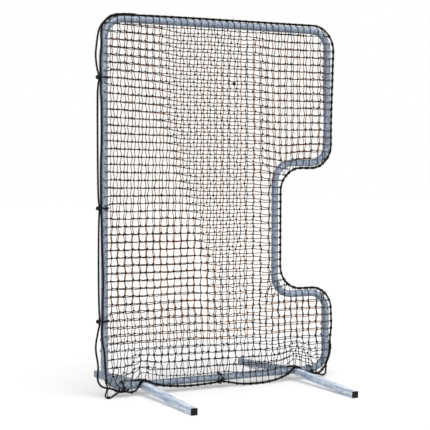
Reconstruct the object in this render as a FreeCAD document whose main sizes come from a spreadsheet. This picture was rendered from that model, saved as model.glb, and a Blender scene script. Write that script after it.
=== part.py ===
import FreeCAD, Part

import math
import os
from types import SimpleNamespace

import Sketcher
from FreeCAD import Placement, Rotation, Vector

# Softball pitcher's screen: a bolted steel tube frame with a square notch on its right side, held
# up by two pairs of legs, and covered front and back by a net. X runs across the frame with the
# notch on +X, -Y is the front, and Z is up from the ground. Millimetres and degrees.
DIMENSIONS = {
    "frame_shift": 4.0,
    "frame_width": 1500.0,
    "frame_height": 2093.0,
    "rail_height": 58.4,
    "tube_od": 41.3,
    "tube_wall": 2.1,
    "bend_radius": 114.0,
    "bend_chords": 5,
    "notch_depth": 374.0,
    "notch_top": 1339.4,
    "notch_bottom": 534.4,
    "splice_offset": 245.0,
    "splice_gap": 0.6,
    "sleeve_length": 160.0,
    "sleeve_wall": 2.0,
    "sleeve_clearance": 0.1,
    "bolt_offset": 32.0,
    "bolt_radius": 4.0,
    "bolt_hole_radius": 4.3,
    "bolt_stickout": 10.5,
    "hex_across_corners": 15.0,
    "bolt_head_height": 5.3,
    "nut_height": 6.5,
    "insert_height": 2.6,
    "insert_radius": 5.9,
    "leg_x": 517.0,
    "leg_slope": 3.3,
    "leg_size": 38.1,
    "leg_wall": 2.1,
    "leg_corner": 3.0,
    "leg_start": 45.0,
    "leg_reach": 665.0,
    "stub_size": 31.75,
    "stub_wall": 2.0,
    "stub_length": 150.0,
    "cap_thickness": 5.0,
    "cap_size": 38.9,
    "cap_plug_size": 33.6,
    "cap_plug_wall": 2.4,
    "cap_plug_length": 22.0,
    "button_position": 80.0,
    "button_radius": 4.0,
    "button_hole_radius": 4.3,
    "button_proud": 4.5,
    "button_flange_radius": 5.5,
    "button_flange_height": 1.2,
    "spring_width": 10.0,
    "spring_thickness": 1.0,
    "spring_start": 64.0,
    "spring_bend": 118.0,
    "net_twine": 2.6,
    "net_border": 8.0,
    "net_pitch": 222.25,
    "net_gap": 0.15,
    "rope_diameter": 9.5,
    "rope_standoff": 31.5,
    "tie_cord": 5.0,
    "tie_ball_radius": 12.5,
    "tie_ball_reach": 47.0,
    "lashing_length": 34.0,
    "lashing_wall": 1.6,
}

DOC = FreeCAD.newDocument("PitchersScreen")
SHEET = DOC.addObject("Spreadsheet::Sheet", "Dimensions")
NODES = []
CORD_REPORT = []


class Length:
    """A size worked out from the sheet: its value, and the expression that binds a feature to it."""

    def __init__(self, value, text=None):
        self.value = float(value)
        self.text = text or str(value)

    def __add__(self, other):
        other = as_length(other)
        return Length(self.value + other.value, f"({self.text} + {other.text})")

    def __sub__(self, other):
        other = as_length(other)
        return Length(self.value - other.value, f"({self.text} - {other.text})")

    def __mul__(self, factor):
        return Length(self.value * factor, f"({self.text} * {factor})")

    def __truediv__(self, factor):
        return Length(self.value / factor, f"({self.text} / {factor})")

    def __neg__(self):
        return Length(-self.value, f"(-{self.text})")


def as_length(number):
    return number if isinstance(number, Length) else Length(number)


def fill_sheet():
    for row, (alias, value) in enumerate(DIMENSIONS.items(), start=1):
        SHEET.set(f"A{row}", alias)
        SHEET.set(f"B{row}", str(value))
        SHEET.setAlias(f"B{row}", alias)
    DOC.recompute()


fill_sheet()
d = SimpleNamespace(
    **{alias: Length(value, f"Dimensions.{alias}") for alias, value in DIMENSIONS.items()}
)

# Sizes that several pieces share.
TUBE_RADIUS = d.tube_od / 2
POST_X = {"left": d.frame_shift - d.frame_width / 2, "right": d.frame_shift + d.frame_width / 2}
TOP_HEIGHT = d.rail_height + d.frame_height
SPLICE_HEIGHT = {"lower": d.rail_height + d.splice_offset, "upper": TOP_HEIGHT - d.splice_offset}
NOTCH_X = POST_X["right"] - d.notch_depth
STUB_TOP = d.stub_size / 2
LEG_TOP = STUB_TOP + d.leg_wall
LEG_AXIS_DROP = LEG_TOP - d.leg_size / 2
BORE_CORNER = (TUBE_RADIUS - d.tube_wall) * 1.054
ALONG_X = Rotation(Vector(0, 1, 0), 90)
SMALL_ROUND_SIDES = 8
ROPE_SIDES = 5
TIE_CORD_SIDES = 4


def node(feature, name):
    """Names a finished piece and lists it for export."""
    feature.Label = name
    NODES.append(feature)
    return feature


def bind(feature, sizes):
    for path, length in sizes.items():
        feature.setExpression(path, as_length(length).text)


def place(feature, x, y, z, rotation=Rotation()):
    feature.Placement = Placement(Vector(), rotation)
    bind(feature, {"Placement.Base.x": x, "Placement.Base.y": y, "Placement.Base.z": z})


def box(name, low, sizes):
    feature = DOC.addObject("Part::Box", name)
    bind(feature, {"Length": sizes[0], "Width": sizes[1], "Height": sizes[2]})
    place(feature, *low)
    return feature


def cylinder(name, radius, height, base, rotation=Rotation()):
    feature = DOC.addObject("Part::Cylinder", name)
    bind(feature, {"Radius": radius, "Height": height})
    place(feature, *base, rotation)
    return feature


def prism(name, sides, radius, height, base, rotation=Rotation()):
    """A prism with its corners on the given radius. Small round pieces are drawn with eight sides."""
    feature = DOC.addObject("Part::Prism", name)
    feature.Polygon = sides
    bind(feature, {"Circumradius": radius, "Height": height})
    turn = rotation * Rotation(Vector(0, 0, 1), 180 / sides)
    place(feature, *base, turn)
    return feature


def cut(name, base, tool):
    feature = DOC.addObject("Part::Cut", name)
    feature.Base = base
    feature.Tool = tool
    return feature


def fuse(name, pieces):
    feature = DOC.addObject("Part::MultiFuse", name)
    feature.Shapes = pieces
    return feature


def group(name, pieces):
    feature = DOC.addObject("Part::Compound", name)
    feature.Links = pieces
    return feature


def soften(kind, name, base, direction, radius):
    """Rounds or bevels the base's edges that run along the given direction."""
    DOC.recompute()
    feature = DOC.addObject(kind, name)
    feature.Base = base
    edges = []
    for number, edge in enumerate(base.Shape.Edges, start=1):
        along = edge.tangentAt(edge.FirstParameter)
        straight = isinstance(edge.Curve, Part.Line)
        if straight and abs(abs(along.dot(direction)) - 1) < 1e-6:
            edges.append((number, radius.value, radius.value))
    feature.Edges = edges
    return feature


def new_sketch(body, name, role, height=None):
    """A sketch on one of the body's own origin planes, raised along the plane's normal."""
    plane = next(item for item in body.Origin.OriginFeatures if item.Role == role)
    sketch = body.newObject("Sketcher::SketchObject", name)
    sketch.AttachmentSupport = [(plane, "")]
    sketch.MapMode = "FlatFace"
    if height is not None:
        sketch.AttachmentOffset = Placement(Vector(0, 0, height.value), Rotation())
        bind(sketch, {"AttachmentOffset.Base.z": height})
    return sketch


def constrain(sketch, kind, *references, size):
    """A dimension of the sketch that follows the sheet."""
    index = sketch.addConstraint(Sketcher.Constraint(kind, *references, size.value))
    bind(sketch, {f"Constraints[{index}]": size})


def draw_circle(sketch, x, radius, construction):
    """A circle about a centre on the sketch's horizontal axis."""
    circle = Part.Circle(Vector(x.value, 0, 0), Vector(0, 0, 1), radius.value)
    index = sketch.addGeometry(circle, construction)
    sketch.addConstraint(Sketcher.Constraint("PointOnObject", index, 3, -1))
    constrain(sketch, "Radius", index, size=radius)
    constrain(sketch, "DistanceX", -1, 1, index, 3, size=x)
    return index


def draw_tube_section(sketch, x):
    """A frame tube's section: round outside, with the hidden bore drawn eight-sided."""
    draw_circle(sketch, x, TUBE_RADIUS, False)
    draw_octagon(sketch, x, BORE_CORNER)


def draw_sleeve_section(sketch, x):
    """A sleeve that fills the bore, drawn eight-sided inside and out."""
    draw_octagon(sketch, x, BORE_CORNER - d.sleeve_clearance)
    draw_octagon(sketch, x, BORE_CORNER - d.sleeve_clearance - d.sleeve_wall)


def draw_octagon(sketch, x, corner_radius):
    ring = draw_circle(sketch, x, corner_radius, True)
    add_polygon(sketch, ring, Vector(x.value, 0, 0), corner_radius.value)


def draw_bent_path(sketch, points):
    """Straight runs joined by quarter bends. points are (x, z) of the ends and of the corners. The
    number of edges that the pipe follows is returned."""
    radius = d.bend_radius.value
    corners = [Vector(x.value, z.value, 0) for x, z in points]
    steps = [(b - a).normalize() for a, b in zip(corners, corners[1:])]
    last = len(steps) - 1
    lines = []
    for i, step in enumerate(steps):
        start = corners[i] + step * radius if i > 0 else corners[0]
        end = corners[i + 1] - step * radius if i < last else corners[-1]
        lines.append(sketch.addGeometry(Part.LineSegment(start, end)))
        upright = abs(step.x) < 0.5
        sketch.addConstraint(Sketcher.Constraint("Vertical" if upright else "Horizontal", lines[i]))
    for i in range(last):
        add_bend(sketch, lines[i], lines[i + 1], corners[i + 1], steps[i], steps[i + 1])
    for i, step in enumerate(steps):
        x, z = points[i]
        if abs(step.x) < 0.5:
            constrain(sketch, "DistanceX", -1, 1, lines[i], 1, size=x)
        else:
            constrain(sketch, "DistanceY", -1, 1, lines[i], 1, size=z)
    constrain(sketch, "DistanceY", -1, 1, lines[0], 1, size=points[0][1])
    constrain(sketch, "DistanceY", -1, 1, lines[-1], 2, size=points[-1][1])
    return len(lines) + last * DIMENSIONS["bend_chords"]


def add_bend(sketch, line_in, line_out, corner, step_in, step_out):
    """A quarter bend between two runs: equal chords on a construction arc tangent to both."""
    radius = d.bend_radius.value
    centre = corner - step_in * radius + step_out * radius
    entry = corner - step_in * radius - centre
    leave = corner + step_out * radius - centre
    turns_left = step_in.x * step_out.y - step_in.y * step_out.x > 0
    first, second = (entry, leave) if turns_left else (leave, entry)
    circle = Part.Circle(centre, Vector(0, 0, 1), radius)
    angles = [math.atan2(end.y, end.x) for end in (first, second)]
    arc = sketch.addGeometry(Part.ArcOfCircle(circle, *angles), True)
    arc_in, arc_out = (1, 2) if turns_left else (2, 1)
    sketch.addConstraint(Sketcher.Constraint("Tangent", line_in, 2, arc, arc_in))
    sketch.addConstraint(Sketcher.Constraint("Tangent", arc, arc_out, line_out, 1))
    constrain(sketch, "Radius", arc, size=d.bend_radius)
    add_chords(sketch, arc, line_in, line_out, centre, entry, leave)


def add_chords(sketch, arc, line_in, line_out, centre, entry, leave):
    """The chords that stand for a bend, end to end along its arc."""
    count = DIMENSIONS["bend_chords"]
    turn = math.pi / 2 / count
    spots = [
        centre + entry * math.cos(turn * i) + leave * math.sin(turn * i) for i in range(count + 1)
    ]
    chords = [
        sketch.addGeometry(Part.LineSegment(start, end)) for start, end in zip(spots, spots[1:])
    ]
    joints = zip([line_in, *chords], [*chords, line_out])
    for before, after in joints:
        sketch.addConstraint(Sketcher.Constraint("Coincident", before, 2, after, 1))
    for before, after in zip(chords, chords[1:]):
        sketch.addConstraint(Sketcher.Constraint("PointOnObject", after, 1, arc))
        sketch.addConstraint(Sketcher.Constraint("Equal", before, after))


def drill_along_x(body, heights, radius):
    """Bolt holes right through the body along X, at the given heights, drawn eight-sided."""
    sketch = new_sketch(body, f"{body.Name}_hole_sketch", "YZ_Plane")
    for height in heights:
        circle = Part.Circle(Vector(0, height.value, 0), Vector(0, 0, 1), radius.value)
        hole = sketch.addGeometry(circle, True)
        sketch.addConstraint(Sketcher.Constraint("PointOnObject", hole, 3, -2))
        constrain(sketch, "Radius", hole, size=radius)
        constrain(sketch, "DistanceY", -1, 1, hole, 3, size=height)
        add_polygon(sketch, hole, Vector(0, height.value, 0), radius.value)
    pocket = body.newObject("PartDesign::Pocket", f"{body.Name}_holes")
    pocket.Profile = sketch
    pocket.Type = "ThroughAll"
    pocket.SideType = "Symmetric"


def add_polygon(sketch, circle, centre, radius):
    """A regular polygon inside a construction circle, standing on a flat side."""
    turn = 2 * math.pi / SMALL_ROUND_SIDES
    spots = [
        centre + Vector(math.cos(turn * (i + 0.5)), math.sin(turn * (i + 0.5)), 0) * radius
        for i in range(SMALL_ROUND_SIDES)
    ]
    sides = [
        sketch.addGeometry(Part.LineSegment(spots[i - 1], spots[i])) for i in range(SMALL_ROUND_SIDES)
    ]
    for i, side in enumerate(sides):
        following = sides[(i + 1) % SMALL_ROUND_SIDES]
        sketch.addConstraint(Sketcher.Constraint("Coincident", side, 2, following, 1))
        sketch.addConstraint(Sketcher.Constraint("PointOnObject", side, 2, circle))
        if i:
            sketch.addConstraint(Sketcher.Constraint("Equal", sides[0], side))
    sketch.addConstraint(Sketcher.Constraint("Vertical", sides[0]))


def bent_tube(name, points, hole_heights):
    """A steel tube bent along a path, cut square at both ends and drilled for the splice bolts."""
    body = DOC.addObject("PartDesign::Body", name)
    path = new_sketch(body, f"{name}_path", "XZ_Plane")
    edge_count = draw_bent_path(path, points)
    profile = new_sketch(body, f"{name}_section", "XY_Plane", points[0][1])
    draw_tube_section(profile, points[0][0])
    DOC.recompute()
    pipe = body.newObject("PartDesign::AdditivePipe", f"{name}_pipe")
    pipe.Profile = profile
    pipe.Spine = (path, [f"Edge{i + 1}" for i in range(edge_count)])
    pipe.Transition = "Right corner"
    DOC.recompute()
    drill_along_x(body, hole_heights, d.bolt_hole_radius)
    return node(body, name)


def straight_tube(name, x, low, high, draw_section, hole_heights):
    """An upright tube between two heights, drilled for the splice bolts."""
    body = DOC.addObject("PartDesign::Body", name)
    profile = new_sketch(body, f"{name}_section", "XY_Plane", low)
    draw_section(profile, x)
    pad = body.newObject("PartDesign::Pad", f"{name}_pad")
    pad.Profile = profile
    bind(pad, {"Length": high - low})
    DOC.recompute()
    drill_along_x(body, hole_heights, d.bolt_hole_radius)
    return body


def make_frame_tubes():
    """The frame comes apart in four tubes, butted end to end over inner sleeves."""
    left, right = POST_X["left"], POST_X["right"]
    half_gap = d.splice_gap / 2
    upper, lower = SPLICE_HEIGHT["upper"], SPLICE_HEIGHT["lower"]
    bent_tube(
        "top_section",
        [(left, upper + half_gap), (left, TOP_HEIGHT), (right, TOP_HEIGHT), (right, upper + half_gap)],
        [upper + d.bolt_offset],
    )
    bent_tube(
        "bottom_section",
        [(left, lower - half_gap), (left, d.rail_height), (right, d.rail_height), (right, lower - half_gap)],
        [lower - d.bolt_offset],
    )
    bent_tube(
        "notch_section",
        [
            (right, upper - half_gap),
            (right, d.notch_top),
            (NOTCH_X, d.notch_top),
            (NOTCH_X, d.notch_bottom),
            (right, d.notch_bottom),
            (right, lower + half_gap),
        ],
        [upper - d.bolt_offset, lower + d.bolt_offset],
    )
    post = straight_tube(
        "left_post",
        left,
        lower + half_gap,
        upper - half_gap,
        draw_tube_section,
        [upper - d.bolt_offset, lower + d.bolt_offset],
    )
    node(post, "left_post")


def make_splice_sleeves():
    """A sleeve inside each butt joint, held by two bolts."""
    for level, height in SPLICE_HEIGHT.items():
        for side, x in POST_X.items():
            name = f"splice_sleeve_{level}_{side}"
            sleeve = straight_tube(
                name,
                x,
                height - d.sleeve_length / 2,
                height + d.sleeve_length / 2,
                draw_sleeve_section,
                [height - d.bolt_offset, height + d.bolt_offset],
            )
            node(sleeve, name)


def make_splice_fasteners():
    """Two hex bolts through each splice, heads outside, with nylon insert lock nuts inside."""
    bolts = []
    nuts = []
    inserts = []
    for level, height in SPLICE_HEIGHT.items():
        for side, x in POST_X.items():
            inward = 1 if side == "left" else -1
            for offset_name, offset in (("low", -1), ("high", 1)):
                label = f"{level}_{side}_{offset_name}"
                z = height + d.bolt_offset * offset
                bolts.append(make_bolt(label, x, z, inward))
                nut, insert = make_lock_nut(label, x, z, inward)
                nuts.append(nut)
                inserts.append(insert)
    node(group("splice_bolts", bolts), "splice_bolts")
    node(group("lock_nuts", nuts), "lock_nuts")
    node(group("nut_inserts", inserts), "nut_inserts")


def facing(inward):
    """A turn that lays a piece along X, pointing to the middle of the frame."""
    return ALONG_X if inward > 0 else Rotation(Vector(0, 1, 0), -90)


def make_bolt(label, x, z, inward):
    head_face = x - (TUBE_RADIUS + d.bolt_head_height) * inward
    seat = (head_face, 0, z)
    turn = facing(inward)
    head = prism(f"bolt_head_{label}", 6, d.hex_across_corners / 2, d.bolt_head_height, seat, turn)
    length = d.bolt_head_height + d.tube_od + d.bolt_stickout
    shank = prism(f"bolt_shank_{label}", SMALL_ROUND_SIDES, d.bolt_radius, length, seat, turn)
    return fuse(f"bolt_{label}", [head, shank])


def make_lock_nut(label, x, z, inward):
    """The nut's steel body, and the nylon ring that stands out of its inner face."""
    seat = (x + TUBE_RADIUS * inward, 0, z)
    ring_seat = (seat[0] + d.nut_height * inward, 0, z)
    turn = facing(inward)
    bore_radius = d.bolt_radius + 0.1
    hexagon = prism(f"nut_hex_{label}", 6, d.hex_across_corners / 2, d.nut_height, seat, turn)
    bore = prism(f"nut_bore_{label}", SMALL_ROUND_SIDES, bore_radius, d.nut_height, seat, turn)
    ring = prism(
        f"insert_ring_{label}", SMALL_ROUND_SIDES, d.insert_radius, d.insert_height, ring_seat, turn
    )
    hole = prism(
        f"insert_hole_{label}", SMALL_ROUND_SIDES, bore_radius, d.insert_height, ring_seat, turn
    )
    return cut(f"nut_{label}", hexagon, bore), cut(f"insert_{label}", ring, hole)


def leg_placement(end, side):
    """Where a leg's own frame stands: Y runs out along the leg from the bottom rail's centre line."""
    sign = -1 if side == "left" else 1
    x = d.frame_shift.value + sign * d.leg_x.value
    slope = d.leg_slope.value
    turn = Rotation(Vector(1, 0, 0), -slope)
    if end == "front":
        turn = Rotation(Vector(1, 0, 0), slope) * Rotation(Vector(0, 0, 1), 180)
    return Placement(Vector(x, 0, d.rail_height.value), turn)


def square_tube(name, size, wall, start, length, top, kind):
    """A square tube along the leg with eased corners, from its start, under a given top height."""
    outer = box(f"{name}_outer", (-size / 2, start, top - size), (size, length, size))
    outer = soften(kind, f"{name}_outer_eased", outer, Vector(0, 1, 0), d.leg_corner)
    inner_size = size - wall * 2
    inner_low = (-inner_size / 2, start, top - wall - inner_size)
    inner = box(f"{name}_inner", inner_low, (inner_size, length, inner_size))
    return cut(f"{name}_tube", outer, inner)


def make_leg(end, side):
    """One leg: its welded stub, the tube that slides over it, the end cap and the locking button."""
    name = f"{end}_{side}"
    seat = leg_placement(end, side)
    pieces = [
        make_stub(name),
        make_leg_tube(name),
        make_button(name),
        make_spring(name),
    ]
    for piece in pieces:
        piece.Placement = seat
    make_cap(name, seat)


def make_stub(name):
    """A square tube, coped to the rail and welded to it, with a hole for the locking button."""
    start = TUBE_RADIUS / 2
    length = d.stub_length - start
    tube = square_tube(
        f"stub_{name}", d.stub_size, d.stub_wall, start, length, STUB_TOP, "Part::Chamfer"
    )
    width = d.stub_size + 2
    rail = cylinder(f"stub_cope_{name}", TUBE_RADIUS, width, (-width / 2, 0, 0), ALONG_X)
    hole = prism(
        f"stub_hole_{name}",
        SMALL_ROUND_SIDES,
        d.button_hole_radius,
        d.stub_size,
        (0, d.button_position, 0),
    )
    stub = cut(f"leg_stub_{name}", tube, fuse(f"stub_cuts_{name}", [rail, hole]))
    return node(stub, f"leg_stub_{name}")


def make_leg_tube(name):
    """The leg proper, resting on the stub's top face and locked by the button through its hole."""
    length = d.leg_reach - d.cap_thickness - d.leg_start
    tube = square_tube(
        f"leg_tube_{name}", d.leg_size, d.leg_wall, d.leg_start, length, LEG_TOP, "Part::Fillet"
    )
    hole = prism(
        f"leg_hole_{name}",
        SMALL_ROUND_SIDES,
        d.button_hole_radius,
        d.leg_size,
        (0, d.button_position, 0),
    )
    return node(cut(f"leg_{name}", tube, hole), f"leg_{name}")


def make_cap(name, seat):
    """A moulded plug with a flange over the tube's end, its foot cut flat where it meets the ground."""
    size = d.cap_size
    flange_start = d.leg_reach - d.cap_thickness
    flange = box(
        f"cap_flange_box_{name}",
        (-size / 2, flange_start, LEG_AXIS_DROP - size / 2),
        (size, d.cap_thickness, size),
    )
    flange = soften("Part::Chamfer", f"cap_flange_{name}", flange, Vector(0, 1, 0), d.leg_corner)
    plug_size = d.cap_plug_size
    plug = box(
        f"cap_plug_{name}",
        (-plug_size / 2, flange_start - d.cap_plug_length, LEG_AXIS_DROP - plug_size / 2),
        (plug_size, d.cap_plug_length, plug_size),
    )
    hollow_size = plug_size - d.cap_plug_wall * 2
    hollow = box(
        f"cap_hollow_{name}",
        (-hollow_size / 2, flange_start - d.cap_plug_length, LEG_AXIS_DROP - hollow_size / 2),
        (hollow_size, d.cap_plug_length, hollow_size),
    )
    solid = cut(f"cap_solid_{name}", fuse(f"cap_body_{name}", [flange, plug]), hollow)
    solid.Placement = seat
    width = size * 2
    ground = box(
        f"cap_ground_{name}",
        (as_length(seat.Base.x) - size, as_length(0) - d.leg_reach - size, as_length(0) - size),
        (width, d.leg_reach * 2 + width, size),
    )
    node(cut(f"leg_cap_{name}", solid, ground), f"leg_cap_{name}")


def make_button(name):
    """The button that pops up through the stub and the leg, on a flange under the stub's wall."""
    ceiling = STUB_TOP - d.stub_wall
    top = LEG_TOP + d.button_proud
    flange_low = ceiling - d.button_flange_height
    crown = d.button_radius / 4
    seat = (0, d.button_position, flange_low)
    flange_size = d.button_flange_radius * 2
    pieces = [
        prism(
            f"button_shank_{name}",
            SMALL_ROUND_SIDES,
            d.button_radius,
            top - flange_low - crown,
            seat,
        ),
        prism(
            f"button_crown_{name}",
            SMALL_ROUND_SIDES,
            d.button_radius - crown,
            top - flange_low,
            seat,
        ),
        box(
            f"button_flange_{name}",
            (-flange_size / 2, d.button_position - flange_size / 2, flange_low),
            (flange_size, flange_size, d.button_flange_height),
        ),
    ]
    return node(fuse(f"snap_button_{name}", pieces), f"snap_button_{name}")


def make_spring(name):
    """A strip spring bent into a U inside the stub: its top arm lifts the button."""
    top = STUB_TOP - d.stub_wall - d.button_flange_height
    bottom = -(STUB_TOP - d.stub_wall)
    height = top - bottom
    run = d.spring_bend - d.spring_start
    width = d.spring_width
    low = (-width / 2, d.spring_start, bottom)
    outer = box(f"spring_outer_{name}", low, (width, run, height))
    outer = soften("Part::Chamfer", f"spring_bend_{name}", outer, Vector(1, 0, 0), height / 3)
    thickness = d.spring_thickness
    inner = box(
        f"spring_inner_{name}",
        (-width / 2, d.spring_start, bottom + thickness),
        (width, run - thickness, height - thickness * 2),
    )
    inner = soften("Part::Chamfer", f"spring_gap_{name}", inner, Vector(1, 0, 0), height / 3)
    return node(cut(f"button_spring_{name}", outer, inner), f"button_spring_{name}")


def net_outline(points):
    """A closed outline in the frame's plane. points are (x, z, corner radius)."""
    count = len(points)
    flat = [Vector(x, 0, z) for x, z, radius in points]
    edges = []
    ends = []
    for i in range(count):
        radius = points[i][2]
        before = (flat[i - 1] - flat[i]).normalize()
        after = (flat[(i + 1) % count] - flat[i]).normalize()
        entry = flat[i] + before * radius
        leave = flat[i] + after * radius
        if radius:
            middle = flat[i] + (before + after) * radius - (before + after).normalize() * radius
            edges.append(Part.Arc(entry, middle, leave).toShape())
        ends.append((entry, leave))
    for i in range(count):
        edges.append(Part.LineSegment(ends[i][1], ends[(i + 1) % count][0]).toShape())
    return Part.Face(Part.Wire(Part.sortEdges(edges)[0]))


def net_panel(name, points, y):
    """One flat panel of the net: a holed face of coarse squares, five real meshes to a square."""
    outline = net_outline(points)
    bounds = outline.BoundBox
    border = d.net_border.value
    inside = net_outline(inset(points, border))
    columns = max(1, round(bounds.XLength / d.net_pitch.value))
    rows = max(1, round(bounds.ZLength / d.net_pitch.value))
    step_x = bounds.XLength / columns
    step_z = bounds.ZLength / rows
    half_twine = d.net_twine.value / 2
    holes = []
    for column in range(columns):
        for row in range(rows):
            x = bounds.XMin + column * step_x + half_twine
            z = bounds.ZMin + row * step_z + half_twine
            square = Part.makePlane(
                step_z - 2 * half_twine, step_x - 2 * half_twine, Vector(x, 0, z), Vector(0, 1, 0)
            )
            square = square.common(inside)
            if square.Area > 0.2 * step_x * step_z:
                holes.append(square)
    face = outline.cut(Part.makeCompound(holes))
    panel = DOC.addObject("Part::Feature", name)
    panel.Shape = face.extrude(Vector(0, d.net_twine.value, 0)).Solids[0]
    panel.Placement = Placement(Vector(0, y, 0), Rotation())
    return node(panel, name)


def inset(points, border):
    """The outline drawn in by the border on every side."""
    centre_x = sum(x for x, z, radius in points) / len(points)
    centre_z = sum(z for x, z, radius in points) / len(points)
    moved = []
    for x, z, radius in points:
        new_x = x + border if x < centre_x else x - border
        new_z = z + border if z < centre_z else z - border
        moved.append((new_x, new_z, max(0.0, radius - border)))
    return moved


def make_nets():
    """A front and a back net, each split where the notch steps in, so that each panel is convex."""
    left = POST_X["left"].value + TUBE_RADIUS.value + d.tie_cord.value + 1.5
    right = POST_X["right"].value
    step = NOTCH_X.value
    low = d.rail_height.value + TUBE_RADIUS.value + d.tie_cord.value + 1.5
    high = TOP_HEIGHT.value
    corner = d.bend_radius.value
    panels = {
        "main": [(left, low, 0), (step, low, 0), (step, high, 0), (left, high, 0)],
        "upper": [
            (step, d.notch_top.value, 0),
            (right, d.notch_top.value, corner),
            (right, high, corner),
            (step, high, 0),
        ],
        "lower": [
            (step, low, 0),
            (right, low, 0),
            (right, d.notch_bottom.value, corner),
            (step, d.notch_bottom.value, 0),
        ],
    }
    face = TUBE_RADIUS.value + d.net_gap.value
    for level, points in panels.items():
        net_panel(f"net_front_{level}", points, -face - d.net_twine.value)
        net_panel(f"net_back_{level}", points, face)


def rounded_route(points):
    """Straight runs joined by tangent arcs. points are (x, y, z) or (x, y, z, radius); an arc with
    no radius of its own takes 0.45 of its shorter run over the tangent of half its turn."""
    spots = [Vector(*point[:3]) for point in points]
    edges = []
    radii = []
    previous = spots[0]
    for i in range(1, len(spots) - 1):
        before = spots[i - 1] - spots[i]
        after = spots[i + 1] - spots[i]
        turn = math.pi - before.getAngle(after)
        shorter = min(before.Length, after.Length)
        radius = 0.45 * shorter / math.tan(turn / 2)
        if len(points[i]) > 3:
            radius = points[i][3]
        reach = radius * math.tan(turn / 2)
        radii.append(radius)
        before.normalize()
        after.normalize()
        entry = spots[i] + before * reach
        leave = spots[i] + after * reach
        towards = (before + after).normalize()
        middle = spots[i] + towards * (radius / math.cos(turn / 2) - radius)
        if (entry - previous).Length > 1e-6:
            edges.append(Part.LineSegment(previous, entry).toShape())
        edges.append(Part.Arc(entry, middle, leave).toShape())
        previous = leave
    edges.append(Part.LineSegment(previous, spots[-1]).toShape())
    return Part.Wire(edges), radii, (spots[1] - spots[0]).normalize()


def cord_solid(points, diameter, sides):
    """A round cord along a route, with its radii and its volume kept for the report."""
    wire, radii, direction = rounded_route(points)
    section = polygon_across(Vector(*points[0][:3]), direction, diameter / 2, sides)
    solid = wire.makePipeShell([section], True, False)
    expected = Part.Face(section).Area * wire.Length
    CORD_REPORT.append((wire.Length, min(radii), max(radii), solid.Volume / expected))
    return solid


def polygon_across(centre, direction, radius, sides):
    """A closed polygon about a point, square to a direction."""
    turn = Rotation(Vector(0, 0, 1), direction)
    spots = []
    for i in range(sides + 1):
        angle = 2 * math.pi * i / sides
        spots.append(centre + turn.multVec(Vector(math.cos(angle), math.sin(angle), 0) * radius))
    return Part.makePolygon(spots)


def cord_node(name, points, diameter):
    cord = DOC.addObject("Part::Feature", name)
    cord.Shape = cord_solid([shifted(point) for point in points], diameter, ROPE_SIDES)
    return node(cord, name)


def shifted(point):
    """A route's point is written from the frame's centre line; the whole frame stands off by a little."""
    return (point[0] + d.frame_shift.value, *point[1:])


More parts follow.
